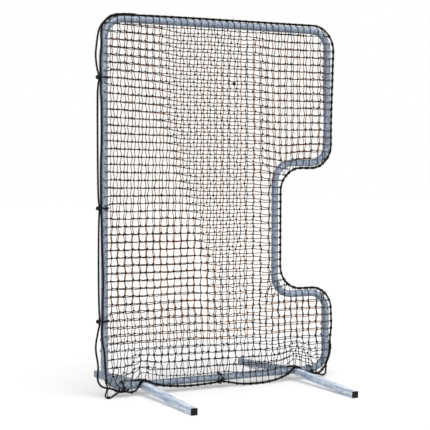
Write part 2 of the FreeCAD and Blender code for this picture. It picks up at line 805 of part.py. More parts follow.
def make_ropes():
    """The net's border ropes. One runs right round the screen, down the back of the open left side
    and behind the bottom rail. The other follows the front of the opening, and hangs in a slack
    loop at the bottom left corner, and it is lashed to the first at both ends."""
    half = d.frame_width.value / 2
    left = -half
    side = half + d.rope_standoff.value
    top = TOP_HEIGHT.value + d.rope_standoff.value
    bend = d.bend_radius.value + d.rope_standoff.value
    low_top = top - 3.7
    lashed_top = low_top + 0.2
    notch_x = half - d.notch_depth.value + d.rope_standoff.value + 9
    notch_low = d.notch_bottom.value + d.rope_standoff.value
    notch_high = d.notch_top.value - d.rope_standoff.value
    diameter = d.rope_diameter.value
    end_height = 46
    border_rope = [
        (-150, 31, end_height),
        (430, 31, end_height),
        (480, 29, 80),
        (555, 29, 80),
        (615, 34, 46),
        (700, 16, 22),
        (754, 1, 3.5, 20),
        (755, 0, 88),
        (768, 0, 121),
        (side, 0, 158, 60),
        (side, 0, 215, 150),
        (side + 13, 0, 320),
        (side, 0, notch_low, bend),
        (notch_x, 0, notch_low, bend),
        (notch_x, 0, notch_high, bend),
        (side, 0, notch_high, bend),
        (side, 0, 1600),
        (side + 18, 0, top, bend + 6),
        (-682, 0, low_top),
        (-728, 1, 2151),
        (-766, 3, 2112),
        (-783, 8, 2070),
        (left - 39, 20, 1985),
        (left - 43, 22, 1940),
        (left - 34, 18, 1862),
        (left - 24.2, 2, 1817),
        (left - 31, 18, 1775),
        (left - 31.5, 21, 1650),
        (left - 30, 19, 1130),
        (left - 24.2, 2, 1081),
        (left - 26, 18, 1035),
        (left - 27.5, 19, 700),
        (left - 25, 17, 490),
        (left - 25, 3, 441),
        (left - 27, 18, 395),
        (left - 42, 26, 310),
        (left - 42, 26, 262),
        (left - 24, 26, 175),
        (left - 34, 26, 108),
        (left - 20, 25, 72),
        (left + 4, 24, 54),
        (left + 45, 22, 47),
        (left + 75, 20, 34),
        (left + 105, 20, 21),
        (left + 140, 20, 19),
        (-578, 29, 34),
        (-552, 30, 80),
        (-480, 29, 80),
        (-430, 31, end_height),
        (-154, 31, end_height),
    ]
    cord_node("border_rope", border_rope, diameter)
    opening_rope_side = [
        (-560, -9.7, lashed_top),
        (-682, -9.7, low_top),
        (-728, -9.7, 2151),
        (-764, -9.5, 2114),
        (left - 26, -14, 2060),
        (left - 22, -18.5, 2010),
        (left - 29, -13, 1940),
        (left - 29, -13, 1865),
        (left - 24.5, -10.5, 1817),
        (left - 26.5, -10.5, 1740),
        (left - 23.5, -17.5, 1670),
        (left - 23, -18, 1450),
        (left - 26.5, -11.5, 1340),
        (left - 24.5, -10.5, 1081),
        (left - 23.5, -17, 1000),
        (left - 23, -17.5, 900),
        (left - 15.5, -24.5, 680),
        (left - 19.5, -21.5, 560),
        (left - 19, -20.5, 441),
        (left - 25, -15.5, 392),
        (left - 21.5, -20, 325),
        (left - 12, -28.5, 272),
        (left - 9, -31, 212),
        (left - 6, -31.5, 150),
    ]
    cord_node("opening_rope_side", opening_rope_side, diameter)
    opening_rope_slack = [
        (left - 6, -31.5, 150),
        (left - 3.1, -32, 90),
        (left + 8, -33, 60),
        (left - 16, -36, 13, 19),
        (left + 15, -37, 3.5, 25),
        (left + 50, -36, 18),
        (left + 75, -28, 29),
    ]
    cord_node("opening_rope_slack", opening_rope_slack, diameter)
    opening_rope_bottom = [
        (left + 75, -28, 29),
        (left + 100, -20, 40),
        (-614, -31, 25),
        (-575, -34.5, 24),
        (-549, -34.5, 56),
        (-536, -32, 84),
        (-490, -29, 81),
        (-440, -30, 55),
        (-350, -30, 38),
        (-218, -30, 29),
        (-60, -28, 33),
        (-8, -20, 38),
        (60, -31, 27),
        (122, -33, 11),
        (254, -34, 6),
        (356, -33, 14),
        (424, -32, 32),
        (468, -32, 50),
        (493, -31, 84),
        (535, -29, 82),
        (568, -30, 54),
        (622, -20, 38),
        (665, -27, 30),
        (704, -17, 38),
        (731, -12, 58),
        (752, -10.5, 88),
        (768, -9.8, 121),
        (side, -9.8, 158, 60),
        (side, -9.8, 210),
    ]
    cord_node("opening_rope_bottom", opening_rope_bottom, diameter)
    make_lashings(side, lashed_top, end_height)


def make_lashings(side, top, end_height):
    """Twine whipped round both ropes where they meet, and over the border rope's own butted ends."""
    across = Vector(1, 0, 0)
    wraps = [
        lashing([Vector(-585, 0, top), Vector(-585, -9.7, top)], across),
        lashing([Vector(side, 0, 187), Vector(side, -9.8, 187)], Vector(0, 0, 1)),
        lashing([Vector(-152, 31, end_height)], across),
    ]
    whipping = DOC.addObject("Part::Feature", "rope_lashings")
    whipping.Shape = Part.makeCompound(wraps)
    node(whipping, "rope_lashings")


def lashing(rope_centres, direction):
    """A tight wrap round one or two ropes, hollowed to fit them."""
    shift = Vector(d.frame_shift.value, 0, 0) - direction * (d.lashing_length.value / 2)
    run = direction * d.lashing_length.value
    bore = d.rope_diameter.value / 2 * 1.1
    shells = []
    for radius in (bore + d.lashing_wall.value, bore):
        solids = []
        for centre in rope_centres:
            outline = polygon_across(centre + shift, direction, radius, SMALL_ROUND_SIDES)
            solids.append(Part.Face(outline).extrude(run))
        shells.append(solids[0].multiFuse(solids[1:]) if solids[1:] else solids[0])
    return shells[0].cut(shells[1])


# Where the net is tied: the side ties stand on the left post at these heights, the rail ties on the
# bottom rail. The first rail tie sits where the rail starts to bend, so it is lifted and tilted.
POST_TIE_HEIGHTS = (1817.0, 1081.0, 441.0)
RAIL_TIE_SEATS = ((-648.0, 1.6, 7.5), (-8.0, 0.0, 0.0), (622.0, 0.0, 0.0))
POST_TIE_TURN = 18.0
RAIL_TIE_TURN = 5.0
RAIL_LOOP_SLACK = 7.0


def tie_loop(placement, slack):
    """A cord loop round a tube and its ropes, both ends run into the ball. The slack widens one side
    of it, where a rope stands off the tube."""
    reach = d.tie_ball_reach.value
    radius = TUBE_RADIUS.value + d.tie_cord.value / 2 + 0.3
    entry = reach - d.tie_ball_radius.value + 4
    wide = radius + slack
    route = [
        (-entry, 3.2, 0),
        (-30, radius, 0, 8),
        (radius, radius, 0, radius),
        (radius, -wide, 0, radius),
        (-30, -wide, 0, 8),
        (-entry, -3.2, 0),
    ]
    loop = cord_solid(route, d.tie_cord.value, TIE_CORD_SIDES)
    loop.Placement = placement
    return loop


def tie_ball(placement):
    """The ball that locks a tie, twelve-sided, with a flat where the cord goes in."""
    reach = d.tie_ball_reach.value
    radius = d.tie_ball_radius.value
    rings = []
    for tilt in (-65, -35, 0, 35, 65):
        along = radius * math.sin(math.radians(tilt))
        around = radius * math.cos(math.radians(tilt))
        spots = []
        for i in range(13):
            angle = math.pi * i / 6
            spots.append(Vector(along - reach, around * math.cos(angle), around * math.sin(angle)))
        rings.append(Part.makePolygon(spots))
    ball = Part.makeLoft(rings, True, True)
    ball.Placement = placement
    return ball


def make_ties():
    """Elastic ball ties that hold the net's open side to the post and its bottom edge to the rail."""
    post_places = [
        Placement(Vector(POST_X["left"].value, 0, z), Rotation(Vector(0, 0, 1), POST_TIE_TURN))
        for z in POST_TIE_HEIGHTS
    ]
    upright = Rotation(Vector(0, 1, 0), Vector(0, 0, 1), Vector(1, 0, 0))
    rail_places = [
        Placement(
            Vector(x + d.frame_shift.value, 0, d.rail_height.value + lift),
            Rotation(Vector(0, 1, 0), tilt) * Rotation(Vector(1, 0, 0), RAIL_TIE_TURN) * upright,
        )
        for x, lift, tilt in RAIL_TIE_SEATS
    ]
    for name, places, slack in (("post", post_places, 0), ("rail", rail_places, RAIL_LOOP_SLACK)):
        loops = DOC.addObject("Part::Feature", f"{name}_tie_loops")
        loops.Shape = Part.makeCompound([tie_loop(place, slack) for place in places])
        node(loops, f"{name}_tie_loops")
        balls = DOC.addObject("Part::Feature", f"{name}_tie_balls")
        balls.Shape = Part.makeCompound([tie_ball(place) for place in places])
        node(balls, f"{name}_tie_balls")


def check_document():
    """Stops if any object failed, or any piece is null, invalid or without a solid."""
    for item in DOC.Objects:
        if "Invalid" in item.State or "Error" in item.State:
            raise RuntimeError(f"{item.Name} is {item.State}")
    for piece in NODES:
        shape = piece.Shape
        if shape.isNull() or not shape.isValid() or not shape.Solids:
            raise RuntimeError(f"{piece.Label} has no valid solid")


def export_pieces():
    os.makedirs("parts", exist_ok=True)
    for piece in NODES:
        piece.Shape.exportStep(f"parts/{piece.Label}.step")


make_frame_tubes()
make_splice_sleeves()
make_splice_fasteners()
for leg_end in ("front", "rear"):
    for leg_side in ("left", "right"):
        make_leg(leg_end, leg_side)
make_nets()
make_ropes()
make_ties()
DOC.recompute()
check_document()
export_pieces()
for length, least, most, ratio in CORD_REPORT:
    print(f"cord {length:.0f} mm, arc radii {least:.0f} to {most:.0f} mm, volume ratio {ratio:.4f}")
print(f"{len(NODES)} pieces")
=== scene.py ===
import random
from math import acos, asin, atan2, copysign, cos, exp, hypot, pi, radians, sin, sqrt, tan, tau

import bpy
from mathutils import Matrix, Vector, kdtree, noise


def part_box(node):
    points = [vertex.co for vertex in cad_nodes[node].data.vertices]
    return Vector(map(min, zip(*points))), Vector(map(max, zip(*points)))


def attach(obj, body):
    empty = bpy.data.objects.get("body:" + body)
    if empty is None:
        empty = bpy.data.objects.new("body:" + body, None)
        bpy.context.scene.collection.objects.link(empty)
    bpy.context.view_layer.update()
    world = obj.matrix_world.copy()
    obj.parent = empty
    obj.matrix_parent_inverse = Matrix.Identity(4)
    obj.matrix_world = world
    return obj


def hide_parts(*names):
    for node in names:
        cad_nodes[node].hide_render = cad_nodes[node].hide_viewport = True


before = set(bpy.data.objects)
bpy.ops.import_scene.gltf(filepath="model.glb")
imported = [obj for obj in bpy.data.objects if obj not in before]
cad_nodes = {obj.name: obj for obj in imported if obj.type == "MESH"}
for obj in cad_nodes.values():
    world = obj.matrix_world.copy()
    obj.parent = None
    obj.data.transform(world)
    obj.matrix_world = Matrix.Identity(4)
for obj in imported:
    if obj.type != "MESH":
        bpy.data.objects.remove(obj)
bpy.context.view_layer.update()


# Camera. A long lens seven metres off, to the left of the screen's face and a little above its
# middle, level with a standing person's chest.
CAMERA_PLACE = Vector((-3.4580, -6.343, 1.343))
CAMERA_AZIMUTH = radians(-28.36)
CAMERA_ELEVATION = radians(2.49)
CAMERA_ROLL = radians(0.16)
CAMERA_LENS = 101.83
CAMERA_SIGHT_END = 100.0


def add_object(name, data):
    """A new object in the scene."""
    made = bpy.data.objects.new(name, data)
    bpy.context.scene.collection.objects.link(made)
    return made


level = cos(CAMERA_ELEVATION)
backward = Vector((
    sin(CAMERA_AZIMUTH) * level, -cos(CAMERA_AZIMUTH) * level, sin(CAMERA_ELEVATION),
))
rightward = Vector((cos(CAMERA_AZIMUTH), sin(CAMERA_AZIMUTH), 0.0))
rightward = Matrix.Rotation(CAMERA_ROLL, 3, backward) @ rightward
upward = backward.cross(rightward)
camera = add_object("camera", bpy.data.cameras.new("camera"))
camera.data.lens = CAMERA_LENS
camera.data.clip_end = CAMERA_SIGHT_END
camera.matrix_world = Matrix((rightward, upward, backward)).transposed().to_4x4()
camera.location = CAMERA_PLACE
bpy.context.scene.camera = camera
bpy.context.scene.view_settings.view_transform = "Standard"


# Floor and light. A white floor under a pale sky, with one broad lamp high in front of the screen,
# so that shadows are soft and fall close behind what casts them.
FLOOR_SIZE = 60.0
FLOOR_WHITE = (0.75, 0.75, 0.75)
FLOOR_GLOW = 0.26
SKY_WHITE = (1.0, 1.0, 1.0)
SKY_LIGHT = 0.35
SKY_SEEN = 1.0
LAMP_STRENGTH = 2.5
LAMP_SPREAD = radians(66)
LAMP_FROM = Vector((-0.08, -0.40, 0.91))


def add_node(tree, kind, sockets=None, **settings):
    """Adds a node with its settings, its sockets linked or set, and gives its outputs."""
    made = tree.nodes.new(kind)
    for key, value in settings.items():
        setattr(made, key, value)
    for key, value in (sockets or {}).items():
        if isinstance(value, bpy.types.NodeSocket):
            tree.links.new(value, made.inputs[key])
        else:
            made.inputs[key].default_value = value
    return made.outputs


def calculate(tree, operation, first, second=0.0, third=0.0, clamp=False):
    """One step of arithmetic in a shader."""
    sockets = {0: first, 1: second, 2: third}
    return add_node(tree, "ShaderNodeMath", sockets, operation=operation, use_clamp=clamp)[0]


def new_finish(name, roughness, metallic=0.0, specular=0.5, sheen=0.0):
    """A material with its Principled shader, whose even values are set on the shader itself."""
    finish = bpy.data.materials.new(name)
    finish.use_nodes = True
    shader = finish.node_tree.nodes["Principled BSDF"].inputs
    shader["Roughness"].default_value = roughness
    shader["Metallic"].default_value = metallic
    shader["Specular IOR Level"].default_value = specular
    shader["Sheen Weight"].default_value = sheen
    return finish, finish.node_tree, shader


def number_between(tree, value, low, high):
    """A number that runs from low to high as the value goes from 0 to 1."""
    return add_node(tree, "ShaderNodeMapRange", {"Value": value, "To Min": low, "To Max": high})["Result"]


def seen_directly(tree):
    """1 for the rays that show a surface to the camera, straight or in metal, and 0 for its light."""
    rays = add_node(tree, "ShaderNodeLightPath")
    seen = calculate(tree, "MAXIMUM", rays["Is Camera Ray"], rays["Is Glossy Ray"])
    return calculate(tree, "MAXIMUM", seen, rays["Is Transmission Ray"])


floor_mesh = bpy.data.meshes.new("floor")
half_floor = FLOOR_SIZE / 2
floor_mesh.from_pydata(
    [(half_floor * x, half_floor * y, 0) for x, y in ((-1, -1), (1, -1), (1, 1), (-1, 1))],
    [], [(0, 1, 2, 3)],
)
floor = add_object("floor", floor_mesh)
floor_white, tree, shader = new_finish("floor_white", roughness=0.95, specular=0.0)
shader["Base Color"].default_value = (*FLOOR_WHITE, 1.0)
glow_strength = calculate(tree, "MULTIPLY", seen_directly(tree), FLOOR_GLOW)
floor_glow = add_node(tree, "ShaderNodeEmission", {"Strength": glow_strength})[0]
floor_paint = tree.nodes["Principled BSDF"].outputs[0]
floor_sum = add_node(tree, "ShaderNodeAddShader", {0: floor_paint, 1: floor_glow})[0]
tree.links.new(floor_sum, tree.nodes["Material Output"].inputs["Surface"])
floor_mesh.materials.append(floor_white)

sky = bpy.data.worlds.new("sky")
sky.use_nodes = True
tree = sky.node_tree
background = tree.nodes["Background"].inputs
background["Color"].default_value = (*SKY_WHITE, 1.0)
tree.links.new(number_between(tree, seen_directly(tree), SKY_LIGHT, SKY_SEEN), background["Strength"])
bpy.context.scene.world = sky

lamp = add_object("broad_lamp", bpy.data.lights.new("broad_lamp", "SUN"))
lamp.data.energy = LAMP_STRENGTH
lamp.data.angle = LAMP_SPREAD
lamp.rotation_mode = "QUATERNION"
lamp.rotation_quaternion = LAMP_FROM.to_track_quat("Z", "Y")


# Frame tubes. Round galvanised steel tube in four lengths, bent cold at the corners and round the
# side notch, with sleeves inside the splices and square stubs welded on for the legs.
LEG_ENDS = ("front_left", "front_right", "rear_left", "rear_right")
FRAME_NODES = (
    "top_section", "left_post", "notch_section", "bottom_section",
    *(f"splice_sleeve_{end}" for end in ("upper_left", "upper_right", "lower_left", "lower_right")),
    *(f"leg_stub_{end}" for end in LEG_ENDS),
)
ZINC_DULL = (0.10, 0.135, 0.20)
ZINC_BRIGHT = (0.50, 0.565, 0.66)
CREASE_ANGLE = radians(32)
SEAM_WIDTH = 0.00001


def new_group(name, inputs, outputs):
    """A shader node group with named inputs, (name, default), and named outputs, all numbers."""
    group = bpy.data.node_groups.new(name, "ShaderNodeTree")
    for label, value in inputs:
        socket = group.interface.new_socket(label, in_out="INPUT", socket_type="NodeSocketFloat")
        socket.default_value = value
    for label in outputs:
        group.interface.new_socket(label, in_out="OUTPUT", socket_type="NodeSocketFloat")
    return group, add_node(group, "NodeGroupInput"), group.nodes.new("NodeGroupOutput").inputs


def place_group(tree, group, **values):
    """A group placed in a material with its own values, written with _ for a space."""
    sockets = {key.replace("_", " "): value for key, value in values.items()}
    return add_node(tree, "ShaderNodeGroup", sockets, node_tree=group)


def shade_between(tree, value, dark, bright, low=0.0, high=1.0):
    """A colour that runs from dark to bright as the value goes from low to high."""
    shade = add_node(tree, "ShaderNodeValToRGB", {"Fac": value})["Color"]
    stops = shade.node.color_ramp.elements
    stops[0].position, stops[0].color = low, (*dark, 1.0)
    stops[1].position, stops[1].color = high, (*bright, 1.0)
    return shade


def place_on_part(tree):
    """Where a surface point lies on the part, in metres."""
    return add_node(tree, "ShaderNodeTexCoord")["Object"]


def mottle(tree, place, scale, detail, roughness=0.5):
    """A cloudy pattern of numbers from 0 to 1."""
    sockets = {"Vector": place, "Scale": scale, "Detail": detail, "Roughness": roughness}
    return add_node(tree, "ShaderNodeTexNoise", sockets)["Fac"]


def raise_relief(tree, shader, height, distance):
    """Bump for the shader's normal, distance deep in metres."""
    bump = add_node(tree, "ShaderNodeBump", {"Height": height, "Distance": distance})
    tree.links.new(bump["Normal"], shader["Normal"])


def give_finish(finish, node_names):
    """Puts a finish on CAD nodes."""
    for name in node_names:
        for slot in cad_nodes[name].material_slots:
            slot.material = finish


def spangled_finish(name, dark, bright, low=0.0, high=1.0, roughness=0.5, metallic=0.0, **spangle):
    """A finish whose colour follows the tone of flakes and patches."""
    finish, tree, shader = new_finish(name, roughness, metallic)
    flakes = place_group(tree, zinc_spangle, **spangle)
    tree.links.new(shade_between(tree, flakes["Tone"], dark, bright, low, high), shader["Base Color"])
    return finish, tree, shader, flakes


tree, group_in, group_out = new_group(
    "zinc_spangle", [("Flakes per Metre", 140.0), ("Patches per Metre", 9.0), ("Patchiness", 0.5)],
    ["Tone", "Relief"],
)
zinc_spangle = tree
spangle_place = place_on_part(tree)
flakes = add_node(
    tree, "ShaderNodeTexVoronoi", {"Vector": spangle_place, "Scale": group_in["Flakes per Metre"]},
)
flake_tone = add_node(tree, "ShaderNodeSeparateColor", {"Color": flakes["Color"]})[0]
patches = mottle(tree, spangle_place, group_in["Patches per Metre"], detail=4.0, roughness=0.6)
spangle_tone = add_node(
    tree, "ShaderNodeMix", {"Factor": group_in["Patchiness"], "A": flake_tone, "B": patches},
)
tree.links.new(spangle_tone["Result"], group_out["Tone"])
tree.links.new(flakes["Distance"], group_out["Relief"])

galvanised, tree, shader, spangle = spangled_finish(
    "galvanised_steel", ZINC_DULL, ZINC_BRIGHT, low=0.28, high=0.72, metallic=0.35,
    Patches_per_Metre=60.0, Patchiness=0.8,
)
tree.links.new(number_between(tree, spangle["Tone"], 0.46, 0.66), shader["Roughness"])
raise_relief(tree, shader, spangle["Relief"], distance=0.00006)
give_finish(galvanised, FRAME_NODES)

smooth_bends = tree = bpy.data.node_groups.new("smooth_bends", "GeometryNodeTree")
for way in ("INPUT", "OUTPUT"):
    tree.interface.new_socket("Geometry", in_out=way, socket_type="NodeSocketGeometry")
edge_turn = add_node(tree, "GeometryNodeInputMeshEdgeAngle")["Unsigned Angle"]
creased = add_node(
    tree, "FunctionNodeCompare", {"A": edge_turn, "B": CREASE_ANGLE},
    data_type="FLOAT", operation="GREATER_THAN",
)["Result"]
tube = add_node(tree, "NodeGroupInput")[0]
for kind, sockets, settings in (
    ("GeometryNodeMergeByDistance", {"Distance": SEAM_WIDTH}, {}),
    ("GeometryNodeSetShadeSmooth", {"Shade Smooth": True}, {}),
    ("GeometryNodeSetShadeSmooth", {"Selection": creased, "Shade Smooth": False}, {"domain": "EDGE"}),
):
    tube = add_node(tree, kind, {"Geometry": tube, **sockets}, **settings)[0]
add_node(tree, "NodeGroupOutput", {"Geometry": tube})
for name in FRAME_NODES:
    cad_nodes[name].modifiers.new("smooth_bends", "NODES").node_group = smooth_bends


# Bolts, lock nuts and snap buttons. Zinc-plated steel that holds the splices, and the sprung
# buttons that lock the legs on their stubs. Each nut has a ring of blue nylon that grips the bolt.
HARDWARE_DULL = (0.30, 0.31, 0.33)
HARDWARE_BRIGHT = (0.62, 0.63, 0.65)
SPRING_DARK = (0.05, 0.052, 0.06)
SPRING_BRIGHT = (0.16, 0.165, 0.18)
NYLON_DEEP = (0.12, 0.20, 0.90)
NYLON_PALE = (0.24, 0.36, 1.0)
RUB_SHARPNESS = 6.0

tree, group_in, group_out = new_group(
    "rubbed_edge", [("Edge Width", 0.0015), ("Marks per Metre", 220.0)], ["Mask"],
)
rubbed_edge = tree
rounded_normal = add_node(tree, "ShaderNodeBevel", {"Radius": group_in["Edge Width"]}, samples=4)
flat_normal = add_node(tree, "ShaderNodeNewGeometry")["Normal"]
agreement = add_node(
    tree, "ShaderNodeVectorMath",
    {0: rounded_normal["Normal"], 1: flat_normal}, operation="DOT_PRODUCT",
)["Value"]
marks = mottle(tree, place_on_part(tree), group_in["Marks per Metre"], detail=3.0)
edge_share = calculate(tree, "SUBTRACT", 1.0, agreement)
edge_share = calculate(tree, "MULTIPLY", edge_share, RUB_SHARPNESS, clamp=True)
tree.links.new(calculate(tree, "MULTIPLY", edge_share, marks, clamp=True), group_out["Mask"])

zinc_plate, tree, shader, spangle = spangled_finish(
    "zinc_plated_steel", HARDWARE_DULL, HARDWARE_BRIGHT, roughness=0.3, metallic=0.9,
    Flakes_per_Metre=700.0, Patches_per_Metre=120.0,
)
worn = place_group(tree, rubbed_edge, Edge_Width=0.0006)
tree.links.new(number_between(tree, worn["Mask"], 0.42, 0.2), shader["Roughness"])
give_finish(zinc_plate, ("splice_bolts", "lock_nuts", *(f"snap_button_{end}" for end in LEG_ENDS)))

oiled_spring = spangled_finish(
    "oiled_spring_steel", SPRING_DARK, SPRING_BRIGHT, roughness=0.35, metallic=0.9,
    Flakes_per_Metre=900.0, Patches_per_Metre=60.0,
)[0]
give_finish(oiled_spring, [f"button_spring_{end}" for end in LEG_ENDS])

blue_nylon = spangled_finish(
    "blue_nylon", NYLON_DEEP, NYLON_PALE, roughness=0.35,
    Flakes_per_Metre=1500.0, Patches_per_Metre=300.0,
)[0]


# Legs. Square galvanised tube slid on the stubs and sloping to the floor, the front pair paler and streaked;
# the rear pair take the frame's darker zinc as painted shade. Each is closed at its outer end by a pushed-in
# black plastic cap.
LEG_DULL = (0.22, 0.33, 0.52)
LEG_BRIGHT = (0.84, 0.92, 0.99)
LEG_EDGE = (0.90, 0.95, 1.0)
PLASTIC_BLACK = (0.004, 0.0045, 0.006)
PLASTIC_WORN = (0.013, 0.014, 0.018)
STREAKS_PER_METRE = (150.0, 4.0, 150.0)
STREAK_CONTRAST = 2.2
SCUFF_GRAIN = 0.25

leg_steel, tree, shader = new_finish("pale_galvanised_steel", roughness=0.4, metallic=0.12)
spangle = place_group(tree, zinc_spangle, Flakes_per_Metre=110.0, Patches_per_Metre=14.0, Patchiness=0.7)
streak_place = add_node(
    tree, "ShaderNodeMapping", {"Vector": place_on_part(tree), "Scale": STREAKS_PER_METRE},
)["Vector"]
streaks = mottle(tree, streak_place, 1.0, detail=3.0)
leg_tone = calculate(tree, "MULTIPLY_ADD", streaks, STREAK_CONTRAST, -1.0)
leg_tone = calculate(tree, "ADD", leg_tone, spangle["Tone"], clamp=True)
leg_colour = shade_between(tree, leg_tone, LEG_DULL, LEG_BRIGHT, low=0.2, high=0.8)
worn = place_group(tree, rubbed_edge, Edge_Width=0.003)
leg_mix = add_node(
    tree, "ShaderNodeMixRGB",
    {"Fac": worn["Mask"], "Color1": leg_colour, "Color2": (*LEG_EDGE, 1.0)},
)
tree.links.new(leg_mix["Color"], shader["Base Color"])
tree.links.new(number_between(tree, leg_tone, 0.34, 0.52), shader["Roughness"])
raise_relief(tree, shader, streaks, distance=0.00008)
give_finish(leg_steel, ["leg_front_left", "leg_front_right"])
# The rear legs are the same steel as the front ones; their darker finish is painted shade.
give_finish(galvanised, ["leg_rear_left", "leg_rear_right"])

black_plastic, tree, shader = new_finish("moulded_black_plastic", roughness=0.5, specular=0.2)
grain = mottle(tree, place_on_part(tree), 900.0, detail=2.0)
worn = place_group(tree, rubbed_edge, Edge_Width=0.0012)
scuffed = calculate(tree, "MULTIPLY_ADD", grain, SCUFF_GRAIN, worn["Mask"], clamp=True)
tree.links.new(shade_between(tree, scuffed, PLASTIC_BLACK, PLASTIC_WORN), shader["Base Color"])
tree.links.new(number_between(tree, grain, 0.42, 0.6), shader["Roughness"])
raise_relief(tree, shader, grain, distance=0.00008)
give_finish(black_plastic, [f"leg_cap_{end}" for end in LEG_ENDS])


# Border ropes. Laid black rope of three strands, 9.5 mm thick, bound to the net's edge. One runs
# right round the screen. The other follows the front of the net's open side and its foot, and hangs
# in a slack loop at the corner between them.
RIGHT, BACK, UP = (Vector(way) for way in ((1, 0, 0), (0, 1, 0), (0, 0, 1)))
post_low, post_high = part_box("left_post")
TUBE_RADIUS = (post_high.x - post_low.x) / 2
POST_LEFT = post_low.x + TUBE_RADIUS
POST_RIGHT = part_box("bottom_section")[1].x - TUBE_RADIUS
RAIL_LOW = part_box("bottom_section")[0].z + TUBE_RADIUS
RAIL_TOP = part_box("top_section")[1].z - TUBE_RADIUS
NOTCH_DEPTH_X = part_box("notch_section")[0].x + TUBE_RADIUS
NOTCH_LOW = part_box("net_front_lower")[1].z
NOTCH_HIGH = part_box("net_front_upper")[0].z
BEND_RADIUS = 0.114
ROPE_DIAMETER = 0.0095
ROPE_STAND_OFF = 0.0315
TOP_LEFT_SAG = 0.0037
NOTCH_SLACK = 0.009
ROPE_LAY = 0.034
ROPE_LOBES = (0.90, 1.02, 1.07, 1.02)
ROPE_STEP = 0.0032
ROPE_DARK = (0.003, 0.003, 0.0035)
ROPE_PALE = (0.020, 0.020, 0.023)


class Strands:
    """Gathers the tubes of rope or twine of one piece, with coordinates that follow the lay."""

    def __init__(self):
        self.points, self.faces, self.lays, self.finishes = [], [], [], []

    def add_tube(self, line, radii, sides, across, lay, turn=0.0, twist=0.0, lobes=(1.0,), finish=0):
        """A closed tube along the line. The vector across says where its first side lies."""
        start = len(self.points)
        travelled = 0.0
        runs = []
        for index, spot in enumerate(line):
            travelled += (spot - line[max(index - 1, 0)]).length
            runs.append(travelled / lay)
            along = line[min(index + 1, len(line) - 1)] - line[max(index - 1, 0)]
            along.normalize()
            side = (across - along * across.dot(along)).normalized()
            other = along.cross(side)
            radius = radii[index] if isinstance(radii, list) else radii
            for corner in range(sides):
                angle = tau * corner / sides + turn + twist * travelled
                reach = radius * lobes[corner % len(lobes)]
                self.points.append(spot + side * (reach * cos(angle)) + other * (reach * sin(angle)))
        for index in range(len(line) - 1):
            low = start + index * sides
            high = low + sides
            here, there = runs[index], runs[index + 1]
            for corner in range(sides):
                after = (corner + 1) % sides
                self.faces.append((low + corner, low + after, high + after, high + corner))
                near, far = corner / sides, (corner + 1) / sides
                self.lays += [(near, here), (far, here), (far, there), (near, there)]
                self.finishes.append(finish)
        end = len(self.points)
        for ring in (range(start + sides - 1, start - 1, -1), range(end - sides, end)):
            self.faces.append(tuple(ring))
            self.lays += [(0.0, 0.0)] * sides
            self.finishes.append(finish)
        return travelled

    def add_form(self, form, matrix):
        """A copy of another stock of strands, turned and placed."""
        start = len(self.points)
        self.points += [matrix @ point for point in form.points]
        self.faces += [tuple(start + corner for corner in face) for face in form.faces]
        self.lays += form.lays
        self.finishes += form.finishes

    def make(self, name, finishes, replaces):
        """The piece itself, smooth, riding on the frame and standing for its CAD nodes."""
        mesh = bpy.data.meshes.new(name)
        mesh.from_pydata(self.points, [], self.faces)
        layer = mesh.uv_layers.new(name="lay")
        layer.data.foreach_set("uv", [number for pair in self.lays for number in pair])
        for finish in finishes:
            mesh.materials.append(finish)
        mesh.polygons.foreach_set("material_index", self.finishes)
        mesh.polygons.foreach_set("use_smooth", [True] * len(self.faces))
        mesh.update()
        piece = add_object(name, mesh)
        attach(piece, "frame")
        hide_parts(*replaces)
        return piece


def evenly_spaced(line, step):
    """The same line with its places a step apart."""
    spaced = [line[0]]
    wanted = step
    gone = 0.0
    for first, second in zip(line, line[1:]):
        run = (second - first).length
        while gone + run >= wanted:
            spaced.append(first.lerp(second, (wanted - gone) / run))
            wanted += step
        gone += run
    if (spaced[-1] - line[-1]).length <= step / 3:
        spaced.pop()
    return [*spaced, line[-1]]


def smooth_line(route, step):
    """A rope's centreline: the smooth curve that the route's places pull it along."""
    curve = bpy.data.curves.new("route", "CURVE")
    curve.dimensions = "3D"
    spline = curve.splines.new("NURBS")
    spline.points.add(len(route) - 1)
    for point, spot in zip(spline.points, route):
        point.co = (*spot, 1.0)
    spline.order_u = 3
    spline.use_endpoint_u = True
    spline.resolution_u = 24
    holder = add_object("route", curve)
    bpy.context.view_layer.update()
    traced = bpy.data.meshes.new_from_object(holder)
    line = [vertex.co.copy() for vertex in traced.vertices]
    bpy.data.objects.remove(holder)
    bpy.data.curves.remove(curve)
    bpy.data.meshes.remove(traced)
    return evenly_spaced(line, step)


middle = (POST_LEFT + POST_RIGHT) / 2
half = (POST_RIGHT - POST_LEFT) / 2
left = -half
side = half + ROPE_STAND_OFF
top = RAIL_TOP + ROPE_STAND_OFF
low_top = top - TOP_LEFT_SAG
bend = BEND_RADIUS + ROPE_STAND_OFF
notch_x = NOTCH_DEPTH_X - middle + ROPE_STAND_OFF + NOTCH_SLACK
notch_low = NOTCH_LOW + ROPE_STAND_OFF
notch_high = NOTCH_HIGH - ROPE_STAND_OFF


def from_middle(route):
    """A route's places are written from the screen's middle line. One with a fourth number, the
    radius of a bend, becomes the four places that draw a smooth curve round like an arc."""
    spots = [Vector(place[:3]) + Vector((middle, 0.0, 0.0)) for place in route]
    drawn = []
    for index, place in enumerate(route):
        if len(place) == 3:
            drawn.append(spots[index])
            continue
        back = (spots[index - 1] - spots[index]).normalized()
        on = (spots[index + 1] - spots[index]).normalized()
        turn = pi - back.angle(on)
        reach = place[3] * tan(turn / 2)
        ease = place[3] * tan(turn / 4)
        for way, run in ((back, reach + ease), (back, reach - ease), (on, reach - ease), (on, reach + ease)):
            drawn.append(spots[index] + way * run)
    return drawn


